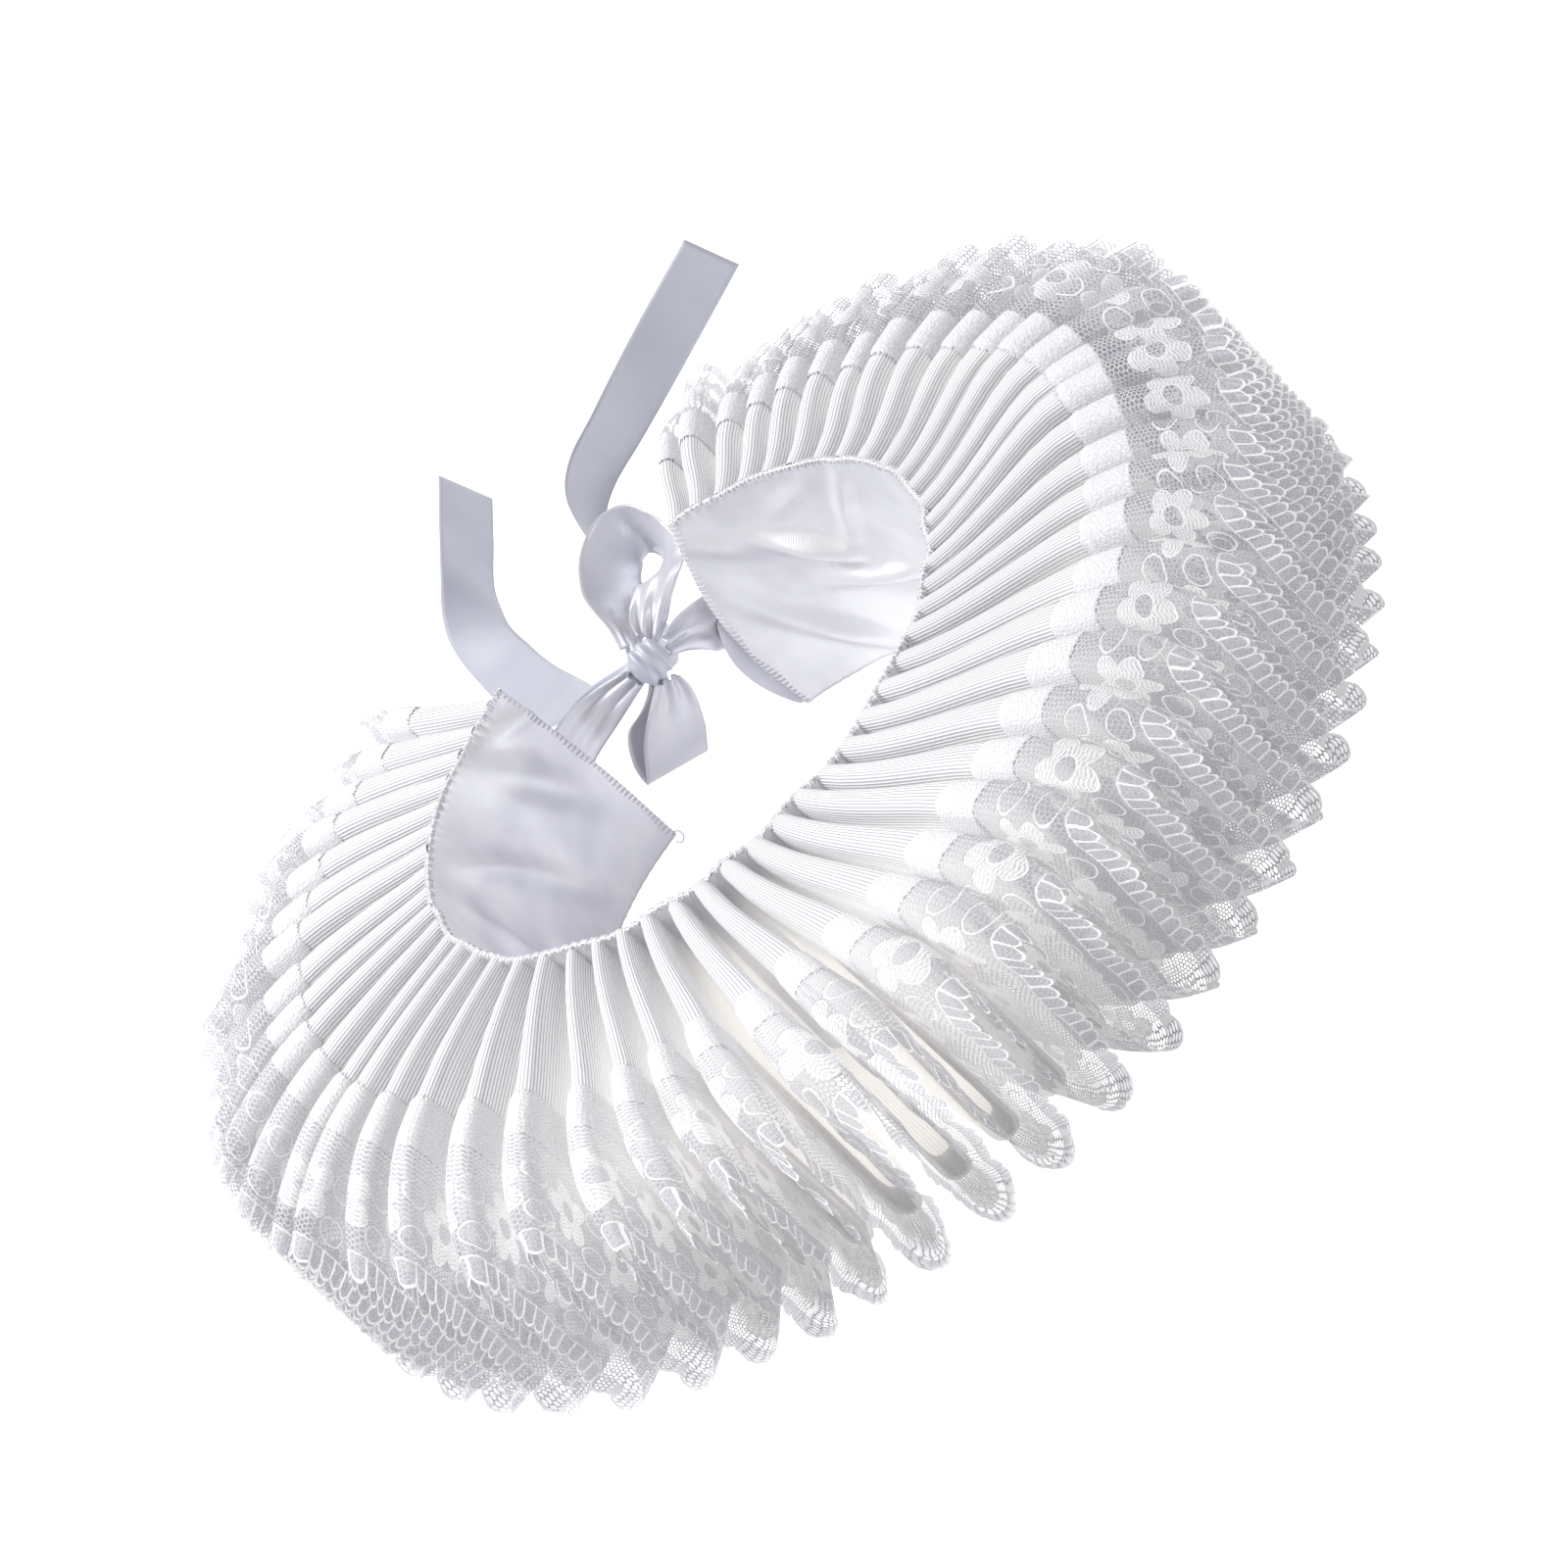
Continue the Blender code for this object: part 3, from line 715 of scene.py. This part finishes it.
def pleated_cloth(along, out, sections):
    """Degrees, radii and heights of the pleated cloth at these places along and out across it.
    Each section's bends are joined by straight walls, rounded by a weighted mean over a few
    neighbours, and the sections are joined by smooth curves from the neck outwards."""
    place = count_bends(along)
    window = np.hanning(ROUNDING + 2)[1:-1]
    window /= window.sum()
    ends = (ROUNDING // 2, ROUNDING // 2)
    lines = []
    for section in sections:
        corners = pleat_corners(section)
        bends = np.arange(len(corners))
        line = np.stack([np.interp(place, bends, part) for part in corners.T], -1)
        padded = np.pad(line, (ends, (0, 0)), mode="reflect", reflect_type="odd")
        rounded = [np.convolve(part, window, mode="valid") for part in padded.T]
        lines.append(np.stack(rounded, -1))
    stops = np.array([section.out for section in sections])
    return smooth_between(out, stops, np.array(lines))


def by_height(tree, fade):
    """A value that changes smoothly between a fade's two heights."""
    place = tree.nodes.new("ShaderNodeTexCoord").outputs["Object"]
    parts = tree.nodes.new("ShaderNodeSeparateXYZ")
    tree.links.new(place, parts.inputs[0])
    node = tree.nodes.new("ShaderNodeMapRange")
    node.interpolation_type = "SMOOTHSTEP"
    feed(tree, node, {"Value": parts.outputs["Z"], "To Min": fade.at_high, "To Max": fade.at_low})
    feed(tree, node, {"From Min": fade.high * MM, "From Max": fade.low * MM})
    return node.outputs["Result"]


def shine_through(material, share=1.0):
    """Light that comes through the thin cloth: the deeper between the pleats, the more, times a
    share. It only shows, and isn't sampled as a lamp."""
    tree = material.node_tree
    shader = tree.nodes["Principled BSDF"]
    deep = sum_of(tree, "MULTIPLY", by_height(tree, DEPTH_GLOW), share)
    glow = blend_of(tree, deep, DARK, GLOW_COLOUR)
    feed(tree, shader, {"Emission Color": glow, "Emission Strength": 1.0})
    material.cycles.emission_sampling = "NONE"


def grosgrain(name):
    """Ribs a fraction of a millimetre apart that run across the ribbon, white on their crests
    with painted shade in the grooves, less of it low down, and the slightly shiny finish of the
    weave."""
    material, tree, shader = shader_nodes(name)
    _, along, across = cut_place(tree)
    wave = sum_of(tree, "SINE", sum_of(tree, "MULTIPLY", along, 2 * math.pi / RIB_PITCH))
    rib = sum_of(tree, "MULTIPLY_ADD", wave, 0.5, 0.5)
    # Painted shade in the grooves between the ribs, less of it low down.
    shaded_groove = sum_of(tree, "POWER", sum_of(tree, "SUBTRACT", 1.0, rib), RIB_SHARPNESS)
    weave = sum_of(tree, "SINE", sum_of(tree, "MULTIPLY", across, 2 * math.pi / WEAVE_PITCH))
    height = sum_of(tree, "MULTIPLY_ADD", weave, WEAVE_HEIGHT, rib)
    depth = sum_of(tree, "MULTIPLY", shaded_groove, by_height(tree, GROOVE_SHADE_FADE))
    finish = {
        "Base Color": blend_of(tree, depth, RIBBON_WHITE, RIBBON_GROOVE_SHADE),
        "Roughness": 0.5,
        "Specular IOR Level": 0.4,
        "Normal": bump_of(tree, height, 0.5, 0.2),
    }
    feed(tree, shader, finish)
    shine_through(material)
    return material


def pleated_ribbon(material):
    """The ribbon from the neck to its outer edge: the pleated cloth at even steps along it."""
    along = np.arange(0.0, RIBBON_LENGTH, PLEAT_STEP)
    out = np.linspace(0.0, RIBBON_WIDTH, RIBBON_ROWS)
    points = round_the_neck(*np.moveaxis(pleated_cloth(along, out, RIBBON_SECTIONS), -1, 0))
    cut = np.stack(np.meshgrid(along, out), -1)
    return cloth_sheet("ruff_ribbon_cloth", points, cut, material)


ribbon = pleated_ribbon(grosgrain("ribbon_grosgrain"))
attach(ribbon, "root")
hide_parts("ruff_ribbon")

# ---------------------------------------------------------------- lace
# A strip of white lace sewn over the ribbon's outer edge and pleated with it: a dense header
# with rows of stitches, open hexagonal net with outlined flowers, and a hem of small scallops.
LACE_WIDTH = 39.0
LACE_SECTIONS = (HEADER_SECTION, EDGE_SECTION, HANG_SECTION, HEM_SECTION)
LACE_OVER = 0.8
LACE_OVER_BY = 0.08
LACE_FLOOR = 0.2
LACE_ROWS = 30
LACE_STEP = 1.9
FOLD_POINTS = 9
HEM_RIPPLES = (Ripple(2.9, 2.0, 23.0, 0.6, 0.0), Ripple(1.3, 0.0, 1.0, 0.12, 0.0))

# Places on the pleats, counted in bends, and how far the lobes of the lower folds reach out at the
# hem while the upper folds draw back.
BENDS_PER_FOLD = 8
UPPER_MIDDLE = 2.5
LOWER_MIDDLE = 6.5
FOLD_HALF = 1.7
LOBE_REACH = 4.5
LOBE_ROUND = 0.5
TOP_RETREAT = 2.0
TOP_ROUND = 0.2

# The pattern: the net's mesh and how much the whole pattern wanders, the header's stitches and
# fringe, the hem's scallops and lobes, the hatching of what is solid, and the scales of the net
# where it is drawn close, with the places across the strip between which they fade in.
NET_PITCH = 1.06
NET_THREAD = (-0.35, -0.9)
WANDER = 1.1
WANDER_PATCHES = 0.3
STITCH_STRETCH = (2.6, 0.9, 1.0)
FRINGE = 3.2
SCALLOP = 4.5
SCALLOP_DEPTH = 1.7
SCALLOP_ROUND = 0.6
SCALLOP_CORD = 0.5
LOBE_DEPTH = 5.4
HATCH_PITCH = 0.86
HATCH_WAVE = 3.1
SCALE_PITCH = 1.3
SCALE_ROW = 0.98
SCALE_BULGE = 0.4
SCALES_COVER = (33.0, 23.0)
SCALES_LIT = (36.0, 8.0)
LOBE_CORD = (0.55, 0.3)
CRISP = 0.3
HEADER_FADE = 0.4

# How high the threads stand over the net's holes, and how white each kind is.
NET_HEIGHT = 0.35
PETAL_HEIGHT = 0.35
CORD_HEIGHT = 0.75
STITCH_HEIGHT = 0.45
SCALE_HEIGHT = 0.4
PETAL_WHITE = 0.8
LACE_WHITE = (0.88, 0.88, 0.90)
LACE_SHADE = (0.66, 0.66, 0.71)
# The lace is painted greyer lower down, as painted shade: its whiteness at two heights.
LACE_LOW_SHADE = Fade(46.0, 18.0, 1.0, 0.6)
LACE_GLOW = 1.3
HEADER_GLOW = -0.6

# Flowers and leaves of the lace: how often each comes along the strip, where its middle is along
# and across, its petals or none for a leaf, its size, and how round a leaf is.
MOTIF_COLUMNS = ("repeat", "start", "middle", "petals", "size", "round")
MOTIF_ROWS = (
    (19.0, 0.0, 24.0, 5, 6.8, 1.0),
    (19.0, 9.5, 29.6, 0, 3.8, 0.62),
    (19.0, 9.5, 20.6, 0, 3.0, 0.9),
)
HEART = 0.33
HEART_CORD = 0.32
MOTIF_CORD = 0.36
PETAL_SWELL = 0.42


class Field:
    """A number that varies over a surface, held as a node's output. Sums on it add Math nodes."""

    def __init__(self, tree, output):
        self.tree = tree
        self.output = output

    def math(self, operation, *others):
        """The result of one Math node on this field and others."""
        values = [other.output if isinstance(other, Field) else float(other) for other in others]
        return Field(self.tree, sum_of(self.tree, operation, self.output, *values))

    def __add__(self, other):
        return self.math("ADD", other)

    def __sub__(self, other):
        return self.math("SUBTRACT", other)

    def __mul__(self, other):
        return self.math("MULTIPLY", other)

    def step(self, low, high):
        """A smooth step from 0 at low to 1 at high."""
        node = self.tree.nodes.new("ShaderNodeMapRange")
        node.interpolation_type = "SMOOTHSTEP"
        feed(self.tree, node, {"Value": self.output, "From Min": low, "From Max": high})
        return Field(self.tree, node.outputs["Result"])

    def line(self, at, width):
        """1 along the line where this field equals at, fading to 0 a width away."""
        return (self - at).math("ABSOLUTE").step(width, width * 0.4)

    def sine(self, pitch, start=0.0):
        """A sine wave that repeats every pitch."""
        return (self * (2 * math.pi / pitch) + start).math("SINE")

    def within(self, pitch):
        """The place inside a repeat, from minus half the pitch to half of it."""
        return self.math("WRAP", pitch, 0.0) - pitch / 2


def stretched(tree, vector, scale):
    """A place scaled by its own amount along each axis."""
    node = tree.nodes.new("ShaderNodeVectorMath")
    node.operation = "MULTIPLY"
    feed(tree, node, {0: vector, 1: scale})
    return node.outputs["Vector"]


def hexagon_net(along, across, pitch):
    """A net of hexagons: three cosines 60 degrees apart, highest in the middle of each hole."""
    total = None
    for turn in (0.0, math.pi / 3, 2 * math.pi / 3):
        line = along * math.cos(turn) + across * math.sin(turn)
        wave = (line * (4 * math.pi / math.sqrt(3) / pitch)).math("COSINE")
        total = wave if total is None else total + wave
    return total


def petals_edge(along, up, petals, size):
    """How far a place is past a flower's edge, which swells once for each petal, and how far it is
    from the middle."""
    radius = (along * along + up * up).math("SQRT")
    swell = (up.math("ARCTAN2", along) * (petals / 2)).math("SINE").math("ABSOLUTE")
    return radius - (swell * PETAL_SWELL + (1 - PETAL_SWELL)) * size, radius


def leaf_edge(along, up, size, roundness):
    """How far a place is past an oval leaf's edge."""
    tall = up * (1 / roundness)
    return (along * along + tall * tall).math("SQRT") - size


def hem_of(along, across):
    """The scalloped hem: where there is cloth, where the lobes' band is, and the cords round the
    lobes, between them and along their top."""
    lobe = along.sine(SCALLOP * 2).math("ABSOLUTE").math("POWER", SCALLOP_ROUND)
    beyond = across - lobe * SCALLOP_DEPTH - (LACE_WIDTH - SCALLOP_DEPTH - 0.1)
    top = LACE_WIDTH - LOBE_DEPTH
    in_hem = across.step(top - CRISP, top)
    aside = along.within(SCALLOP).math("ABSOLUTE") - SCALLOP / 2
    between = aside.step(-LOBE_CORD[0], -LOBE_CORD[1])
    cords = beyond.line(-0.4, SCALLOP_CORD).math("MAXIMUM", between * in_hem)
    cords = cords.math("MAXIMUM", across.line(top, CRISP) * 0.8)
    return beyond.step(0.0, -0.12), in_hem, cords


def motifs_of(along, across, cords):
    """The flowers' solid petals round an open heart, and the cords with the motifs' outlines."""
    solid = None
    for row in MOTIF_ROWS:
        motif = dict(zip(MOTIF_COLUMNS, row))
        sideways = (along + motif["start"]).within(motif["repeat"])
        up = across - motif["middle"]
        if motif["petals"]:
            past, radius = petals_edge(sideways, up, motif["petals"], motif["size"])
            heart = motif["size"] * HEART
            cords = cords.math("MAXIMUM", radius.line(heart, HEART_CORD))
            petals = past.step(0.1, -0.1) * radius.step(heart, heart + CRISP)
            solid = petals if solid is None else solid.math("MAXIMUM", petals)
        else:
            past = leaf_edge(sideways, up, motif["size"], motif["round"])
        cords = cords.math("MAXIMUM", past.line(0.0, MOTIF_CORD))
    return solid, cords


def lace_cloth(name):
    """White thread over holes: hexagonal net, flowers with hatched petals and a ring of net, leaves
    outlined by a cord, a close header with rows of stitches, and a hem of outlined lobes. Where
    the mesh says that the net is drawn close, rows of scales cover it."""
    material, tree, shader = shader_nodes(name)
    place, along, across = cut_place(tree)
    wander = Field(tree, noise_of(tree, place, WANDER_PATCHES, 1.0)) * WANDER
    along = Field(tree, along) + wander
    across = Field(tree, across) + wander * 0.5 - 0.3
    net = hexagon_net(along, across, NET_PITCH).step(*NET_THREAD)
    inside, in_hem, cords = hem_of(along, across)
    petals, cords = motifs_of(along, across, cords)
    rows = (across + along.sine(HATCH_WAVE) * 0.3).sine(HATCH_PITCH)
    hatch = rows.step(-0.9, 0.4) * 0.5 + 0.5
    petals = petals * hatch

    ticks = noise_of(tree, stretched(tree, place, STITCH_STRETCH), 1.0, 2.0)
    stitches = Field(tree, ticks).step(0.35, 0.65)
    header = across.step(HEADER_WIDTH + HEADER_FADE, HEADER_WIDTH - HEADER_FADE)
    fringe = (across - Field(tree, ticks) * FRINGE).step(-0.5, -0.2)
    bulge = along.sine(SCALE_PITCH * 2).math("ABSOLUTE") * SCALE_BULGE
    scales = (across + bulge).sine(SCALE_ROW).step(-0.9, 0.3)
    close = Field(tree, stored_number(tree, "close"))

    threads = net
    drawn = (scales * 0.45 + 0.5) * (close * across.step(*SCALES_COVER))
    for kind in (petals, header, cords, in_hem * (hatch * 0.55 + 0.1), drawn):
        threads = threads.math("MAXIMUM", kind)

    tone = cords + petals * PETAL_WHITE + header * (stitches * 0.5 + 0.5 - close * 0.3)
    tone = tone + (scales * 0.5 + 0.5) * close * across.step(*SCALES_LIT)
    # Painted shade: the lace's whiteness fades lower down.
    tone = tone.math("MINIMUM", 1.0) * Field(tree, by_height(tree, LACE_LOW_SHADE))
    shine_through(material, ((header * HEADER_GLOW + LACE_GLOW) * tone).output)

    height = net * NET_HEIGHT + petals * PETAL_HEIGHT + cords * CORD_HEIGHT
    height = height + header * stitches * STITCH_HEIGHT + scales * close * SCALE_HEIGHT
    finish = {
        "Base Color": blend_of(tree, tone.output, LACE_SHADE, LACE_WHITE),
        "Roughness": 0.6,
        "Specular IOR Level": 0.3,
        "Alpha": (threads * inside * fringe).output,
        "Normal": bump_of(tree, height.output, 0.8, 0.25),
    }
    feed(tree, shader, finish)
    return material


def fold_places(step, fine):
    """Places along the strip: steps down each wall, and a fine number of points over every fold."""
    ends = bend_places[1:-1].reshape(-1, 4)
    stops = [0.0]
    for first, _, _, last in ends:
        stops.extend(np.arange(stops[-1] + step, first - step / 2, step))
        stops.extend(np.linspace(first, last, fine))
    return np.append(stops, RIBBON_LENGTH)


def swelling(bends):
    """1 in the middle of each fold and 0 at its two edges, for places counted in bends: a cosine
    of the distance from the nearest middle."""
    away = np.abs(np.mod(bends + BENDS_PER_FOLD / 2, BENDS_PER_FOLD) - BENDS_PER_FOLD / 2)
    return np.cos(np.clip(away / FOLD_HALF, 0.0, 1.0) * math.pi / 2)


def lace_strip(material):
    """The lace over the ribbon's edge: the pleated cloth, whose lower folds reach further out
    towards the hem and whose upper folds draw back, lifted off the ribbon along its normal and
    rippled by the square of the way to the hem."""
    along = fold_places(LACE_STEP, FOLD_POINTS)
    across = np.linspace(0.0, LACE_WIDTH, LACE_ROWS)
    sheet = pleated_cloth(along, HEADER_SECTION.out + across, LACE_SECTIONS)
    place = count_bends(along)
    fold = 1 + (place - UPPER_MIDDLE) / BENDS_PER_FOLD
    share = (across / LACE_WIDTH)[:, None]
    on_lower = swelling(place - LOWER_MIDDLE)
    on_upper = swelling(place - UPPER_MIDDLE)
    reach = LOBE_REACH * on_lower**LOBE_ROUND
    reach -= TOP_RETREAT * (1 - on_lower) * on_upper**TOP_ROUND
    sheet[..., 1] += share**2 * per_fold("lobed", fold) * reach
    points = round_the_neck(*np.moveaxis(sheet, -1, 0))
    normal = unit(np.cross(np.gradient(points, axis=0), np.gradient(points, axis=1)))
    ripple = sum(each.aside * drifting_wave(along, each) for each in HEM_RIPPLES)
    lift = LACE_OVER * smooth_step(0.0, LACE_OVER_BY, share) + ripple * share**2
    points += normal * lift[..., None]
    points[..., 2] = np.maximum(points[..., 2], LACE_FLOOR)
    cut = np.stack(np.meshgrid(along, across), -1)
    strip = cloth_sheet("ruff_lace_cloth", points, cut, material)
    close = np.clip(per_fold("close", fold), 0.0, 1.0)
    store_on(strip, "close", np.broadcast_to(close, points.shape[:2]))
    return strip


lace = lace_strip(lace_cloth("lace_thread"))
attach(lace, "root")
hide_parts("ruff_lace")

# ---------------------------------------------------------------- ties and bow
# Two ties of narrow satin ribbon, sewn to the band's ends and tied in a bow across the open back:
# two loops, a knot, and two tails that run over the table behind the collar.
TIE_WIDTH = 15.0
TIE_STEPS = 14
TIE_COLUMNS = 15
TIE_WALL = 0.35
GATHERS = 2.5
GATHER_DEPTH = 1.5
GATHER_START = 0.4
LEAST_SHARE = 0.2
TIE_THREAD = 0.5
TIE_SHINE = 0.4
TIE_WHITE = (0.76, 0.76, 0.81)
TIE_SHADE = (0.50, 0.51, 0.60)
TIE_BACK_WHITE = (0.54, 0.55, 0.63)
TIE_BACK_SHADE = (0.48, 0.49, 0.58)
KNOT_CENTRE = (2.7, 60.0, 41.5)
KNOT_HALF = (4.4, 3.6, 4.8)
KNOT_WRAPS = 1.7
KNOT_SLANT = 0.16
KNOT_RELIEF = 0.075
KNOT_BARREL = 3.5
KNOT_ROWS = 61
KNOT_COLUMNS = 73

# The middle line of each length of tie: where it passes, the way that its width points there, and
# the share of its full width that it is drawn to. On edge is how high the middle of a tie is that
# stands on its edge on the table.
STATION_COLUMNS = ("x", "y", "z", "wide_x", "wide_y", "wide_z", "share")
ON_EDGE = TIE_WIDTH / 2 + 0.3
TIE_ROWS = {
    "tie_root_left": (
        (-23.6, 62.6, 38.0, 0.12, 0.0, 1.0, 0.9),
        (-17.0, 65.2, 38.4, 0.05, 0.0, 1.0, 0.8),
        (-9.5, 64.0, 39.6, 0.0, 0.1, 1.0, 0.6),
        (-2.4, 60.4, 41.5, 0.0, 0.0, 1.0, 0.4),
    ),
    "tie_root_right": (
        (7.9, 60.0, 41.6, 0.0, 0.0, 1.0, 0.36),
        (13.0, 62.0, 39.4, 0.0, 0.3, 1.0, 0.55),
        (18.5, 64.7, 35.0, -0.1, 0.1, 1.0, 0.85),
        (23.0, 63.0, 33.5, -0.12, 0.0, 1.0, 0.95),
    ),
    "bow_loop_upper": (
        (5.9, 64.4, 43.6, 0.6, 0.0, -0.8, 0.34),
        (8.4, 66.6, 45.0, 0.8, -0.4, -0.5, 0.5),
        (12.0, 69.0, 47.0, 0.7, -0.7, -0.2, 0.66),
        (16.0, 73.0, 47.6, 0.4, -0.9, 0.0, 0.84),
        (19.4, 77.4, 46.8, 0.2, -0.9, 0.3, 1.0),
        (22.0, 82.4, 46.8, 0.2, -0.8, 0.5, 1.0),
        (23.2, 88.2, 48.2, 0.3, -0.6, 0.7, 1.0),
        (21.4, 92.0, 50.4, 0.2, -0.2, 0.9, 1.0),
        (16.6, 91.8, 51.4, -0.2, 0.0, 1.0, 1.0),
        (11.0, 87.6, 50.4, -0.5, 0.0, 0.9, 1.0),
        (7.6, 82.6, 48.0, -0.7, -0.2, 0.7, 1.0),
        (5.2, 77.4, 45.8, -0.6, -0.4, 0.7, 0.85),
        (3.2, 71.0, 44.6, -0.4, -0.5, 0.8, 0.55),
        (1.4, 64.5, 44.0, -0.2, -0.2, 1.0, 0.34),
    ),
    "bow_loop_lower": (
        (2.9, 58.4, 36.3, 1.0, 0.0, 0.0, 0.36),
        (0.4, 60.2, 31.0, 1.0, 0.0, -0.1, 0.7),
        (-4.8, 62.8, 23.0, 1.0, 0.0, -0.2, 1.0),
        (-8.6, 66.0, 16.2, 1.0, 0.0, -0.3, 1.0),
        (-9.2, 69.4, 14.4, 1.0, 0.0, -0.3, 1.0),
        (-8.6, 71.6, 18.0, 1.0, 0.0, -0.3, 1.0),
        (-5.2, 69.2, 26.0, 1.0, 0.0, -0.2, 0.9),
        (-0.6, 64.0, 32.6, 1.0, 0.0, 0.0, 0.5),
        (1.6, 61.4, 36.3, 1.0, 0.0, 0.0, 0.32),
    ),
    "tie_tail_long": (
        (4.4, 64.3, 38.2, 0.0, 0.0, 1.0, 0.3),
        (5.4, 71.0, 36.0, 0.0, 0.0, 1.0, 0.55),
        (7.4, 81.0, 32.6, 0.0, 0.1, 1.0, 0.8),
        (9.0, 97.0, 28.0, 0.0, 0.1, 1.0, 1.0),
        (10.6, 118.0, 20.5, 0.0, 0.2, 1.0, 1.0),
        (11.8, 140.0, 12.5, 0.0, 0.1, 1.0, 1.0),
        (12.4, 160.0, ON_EDGE + 0.8, 0.0, 0.0, 1.0, 1.0),
        (13.6, 184.0, ON_EDGE, 0.0, 0.0, 1.0, 1.0),
        (17.0, 205.0, ON_EDGE, 0.0, 0.0, 1.0, 1.0),
        (25.0, 219.0, ON_EDGE, -0.1, -0.1, 1.0, 1.0),
        (39.0, 229.0, ON_EDGE, -0.3, -0.1, 1.0, 1.0),
        (62.5, 247.1, ON_EDGE - 0.8, -0.4, 0.2, 0.9, 1.0),
        (85.7, 263.7, ON_EDGE - 1.3, -0.5, 0.4, 0.8, 1.0),
    ),
    "tie_tail_short": (
        (0.6, 64.3, 39.9, 0.0, 0.0, 1.0, 0.3),
        (-7.0, 70.8, 37.0, -0.4, 0.0, 1.0, 0.6),
        (-14.0, 81.0, 33.4, -0.9, 0.0, 0.4, 0.9),
        (-16.8, 100.0, 26.5, -1.0, 0.0, 0.2, 1.0),
        (-18.0, 122.0, 18.0, -1.0, 0.0, 0.0, 1.0),
        (-19.0, 143.0, 10.6, -1.0, 0.0, 0.0, 1.0),
        (-20.6, 164.0, 5.2, -1.0, 0.0, 0.0, 1.0),
        (-21.6, 187.0, 2.1, -1.0, 0.0, 0.1, 1.0),
        (-20.8, 207.5, 4.8, -1.0, 0.0, 0.6, 1.0),
        (-14.2, 226.0, ON_EDGE - 0.2, -0.4, 0.0, 0.9, 1.0),
        (-5.6, 248.5, ON_EDGE - 0.4, -0.4, 0.0, 0.9, 1.0),
        (1.5, 266.3, ON_EDGE - 0.4, -0.4, 0.0, 0.9, 1.0),
    ),
}


def tie_cloth(name, stations, material):
    """A length of tie: a row across it at every step along a smooth line of stations. Where it is
    drawn narrower than its full width it is gathered into soft lengthwise folds, a sine wave
    across it that is deeper the narrower it is."""
    stations = np.array(stations, float)
    stops = np.arange(len(stations), dtype=float)
    where = np.linspace(0, stops[-1], (len(stations) - 1) * TIE_STEPS + 1)
    read = dict(zip(STATION_COLUMNS, smooth_between(where, stops, stations).T))
    middle = np.stack([read["x"], read["y"], read["z"]], axis=-1)
    along = unit(np.gradient(middle, axis=0))
    wide = np.stack([read["wide_x"], read["wide_y"], read["wide_z"]], axis=-1)
    wide = unit(wide - np.sum(wide * along, axis=1, keepdims=True) * along)
    thick = np.cross(along, wide)
    across = np.linspace(-0.5, 0.5, TIE_COLUMNS)[None, :]
    share = np.clip(read["share"], LEAST_SHARE, 1.0)[:, None]
    gathers = np.sin(2 * math.pi * GATHERS * across + GATHER_START)
    points = middle[:, None] + wide[:, None] * (across * share * TIE_WIDTH)[..., None]
    points += thick[:, None] * ((1 - share) * GATHER_DEPTH * gathers)[..., None]
    run = run_along(middle)
    cut = np.stack(np.broadcast_arrays(run[:, None], (across + 0.5) * TIE_WIDTH), -1)
    piece = cloth_sheet(name + "_satin", points, cut, material)
    give_wall(piece, TIE_WALL)
    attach(piece, "root")
    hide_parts(name)


def knot(material):
    """The knot: a barrel lying along X, closed towards its ends, with the folds of the wrapped tie
    as waves along it that slant a little as they go round."""
    turns = np.linspace(0, 2 * math.pi, KNOT_COLUMNS)[None, :]
    share = np.linspace(-1.0, 1.0, KNOT_ROWS)[:, None]
    wraps = KNOT_WRAPS * share + KNOT_SLANT * np.sin(turns + 0.6)
    waves = np.sin(2 * math.pi * wraps + 0.8)
    belly = (1 - np.abs(share) ** KNOT_BARREL) ** 0.5 * (1 + KNOT_RELIEF * waves)
    x = KNOT_CENTRE[0] + KNOT_HALF[0] * share + 0 * turns
    y = KNOT_CENTRE[1] + KNOT_HALF[1] * belly * np.cos(turns)
    z = KNOT_CENTRE[2] - KNOT_HALF[2] * belly * np.sin(turns)
    cut = np.stack(np.broadcast_arrays(turns * KNOT_HALF[2], share * KNOT_HALF[0]), -1)
    return cloth_sheet("bow_knot_satin", np.stack([x, y, z], -1), cut, material)


tie_satin = satin("tie_satin", TIE_WHITE, TIE_SHADE, TIE_THREAD, TIE_SHINE)
tie_back = satin("tie_back", TIE_BACK_WHITE, TIE_BACK_SHADE, TIE_THREAD, 0.0)
for tie_name, stations in TIE_ROWS.items():
    tie_cloth(tie_name, stations, tie_back if "tail" in tie_name else tie_satin)
bow = knot(tie_satin)
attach(bow, "root")
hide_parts("bow_knot")
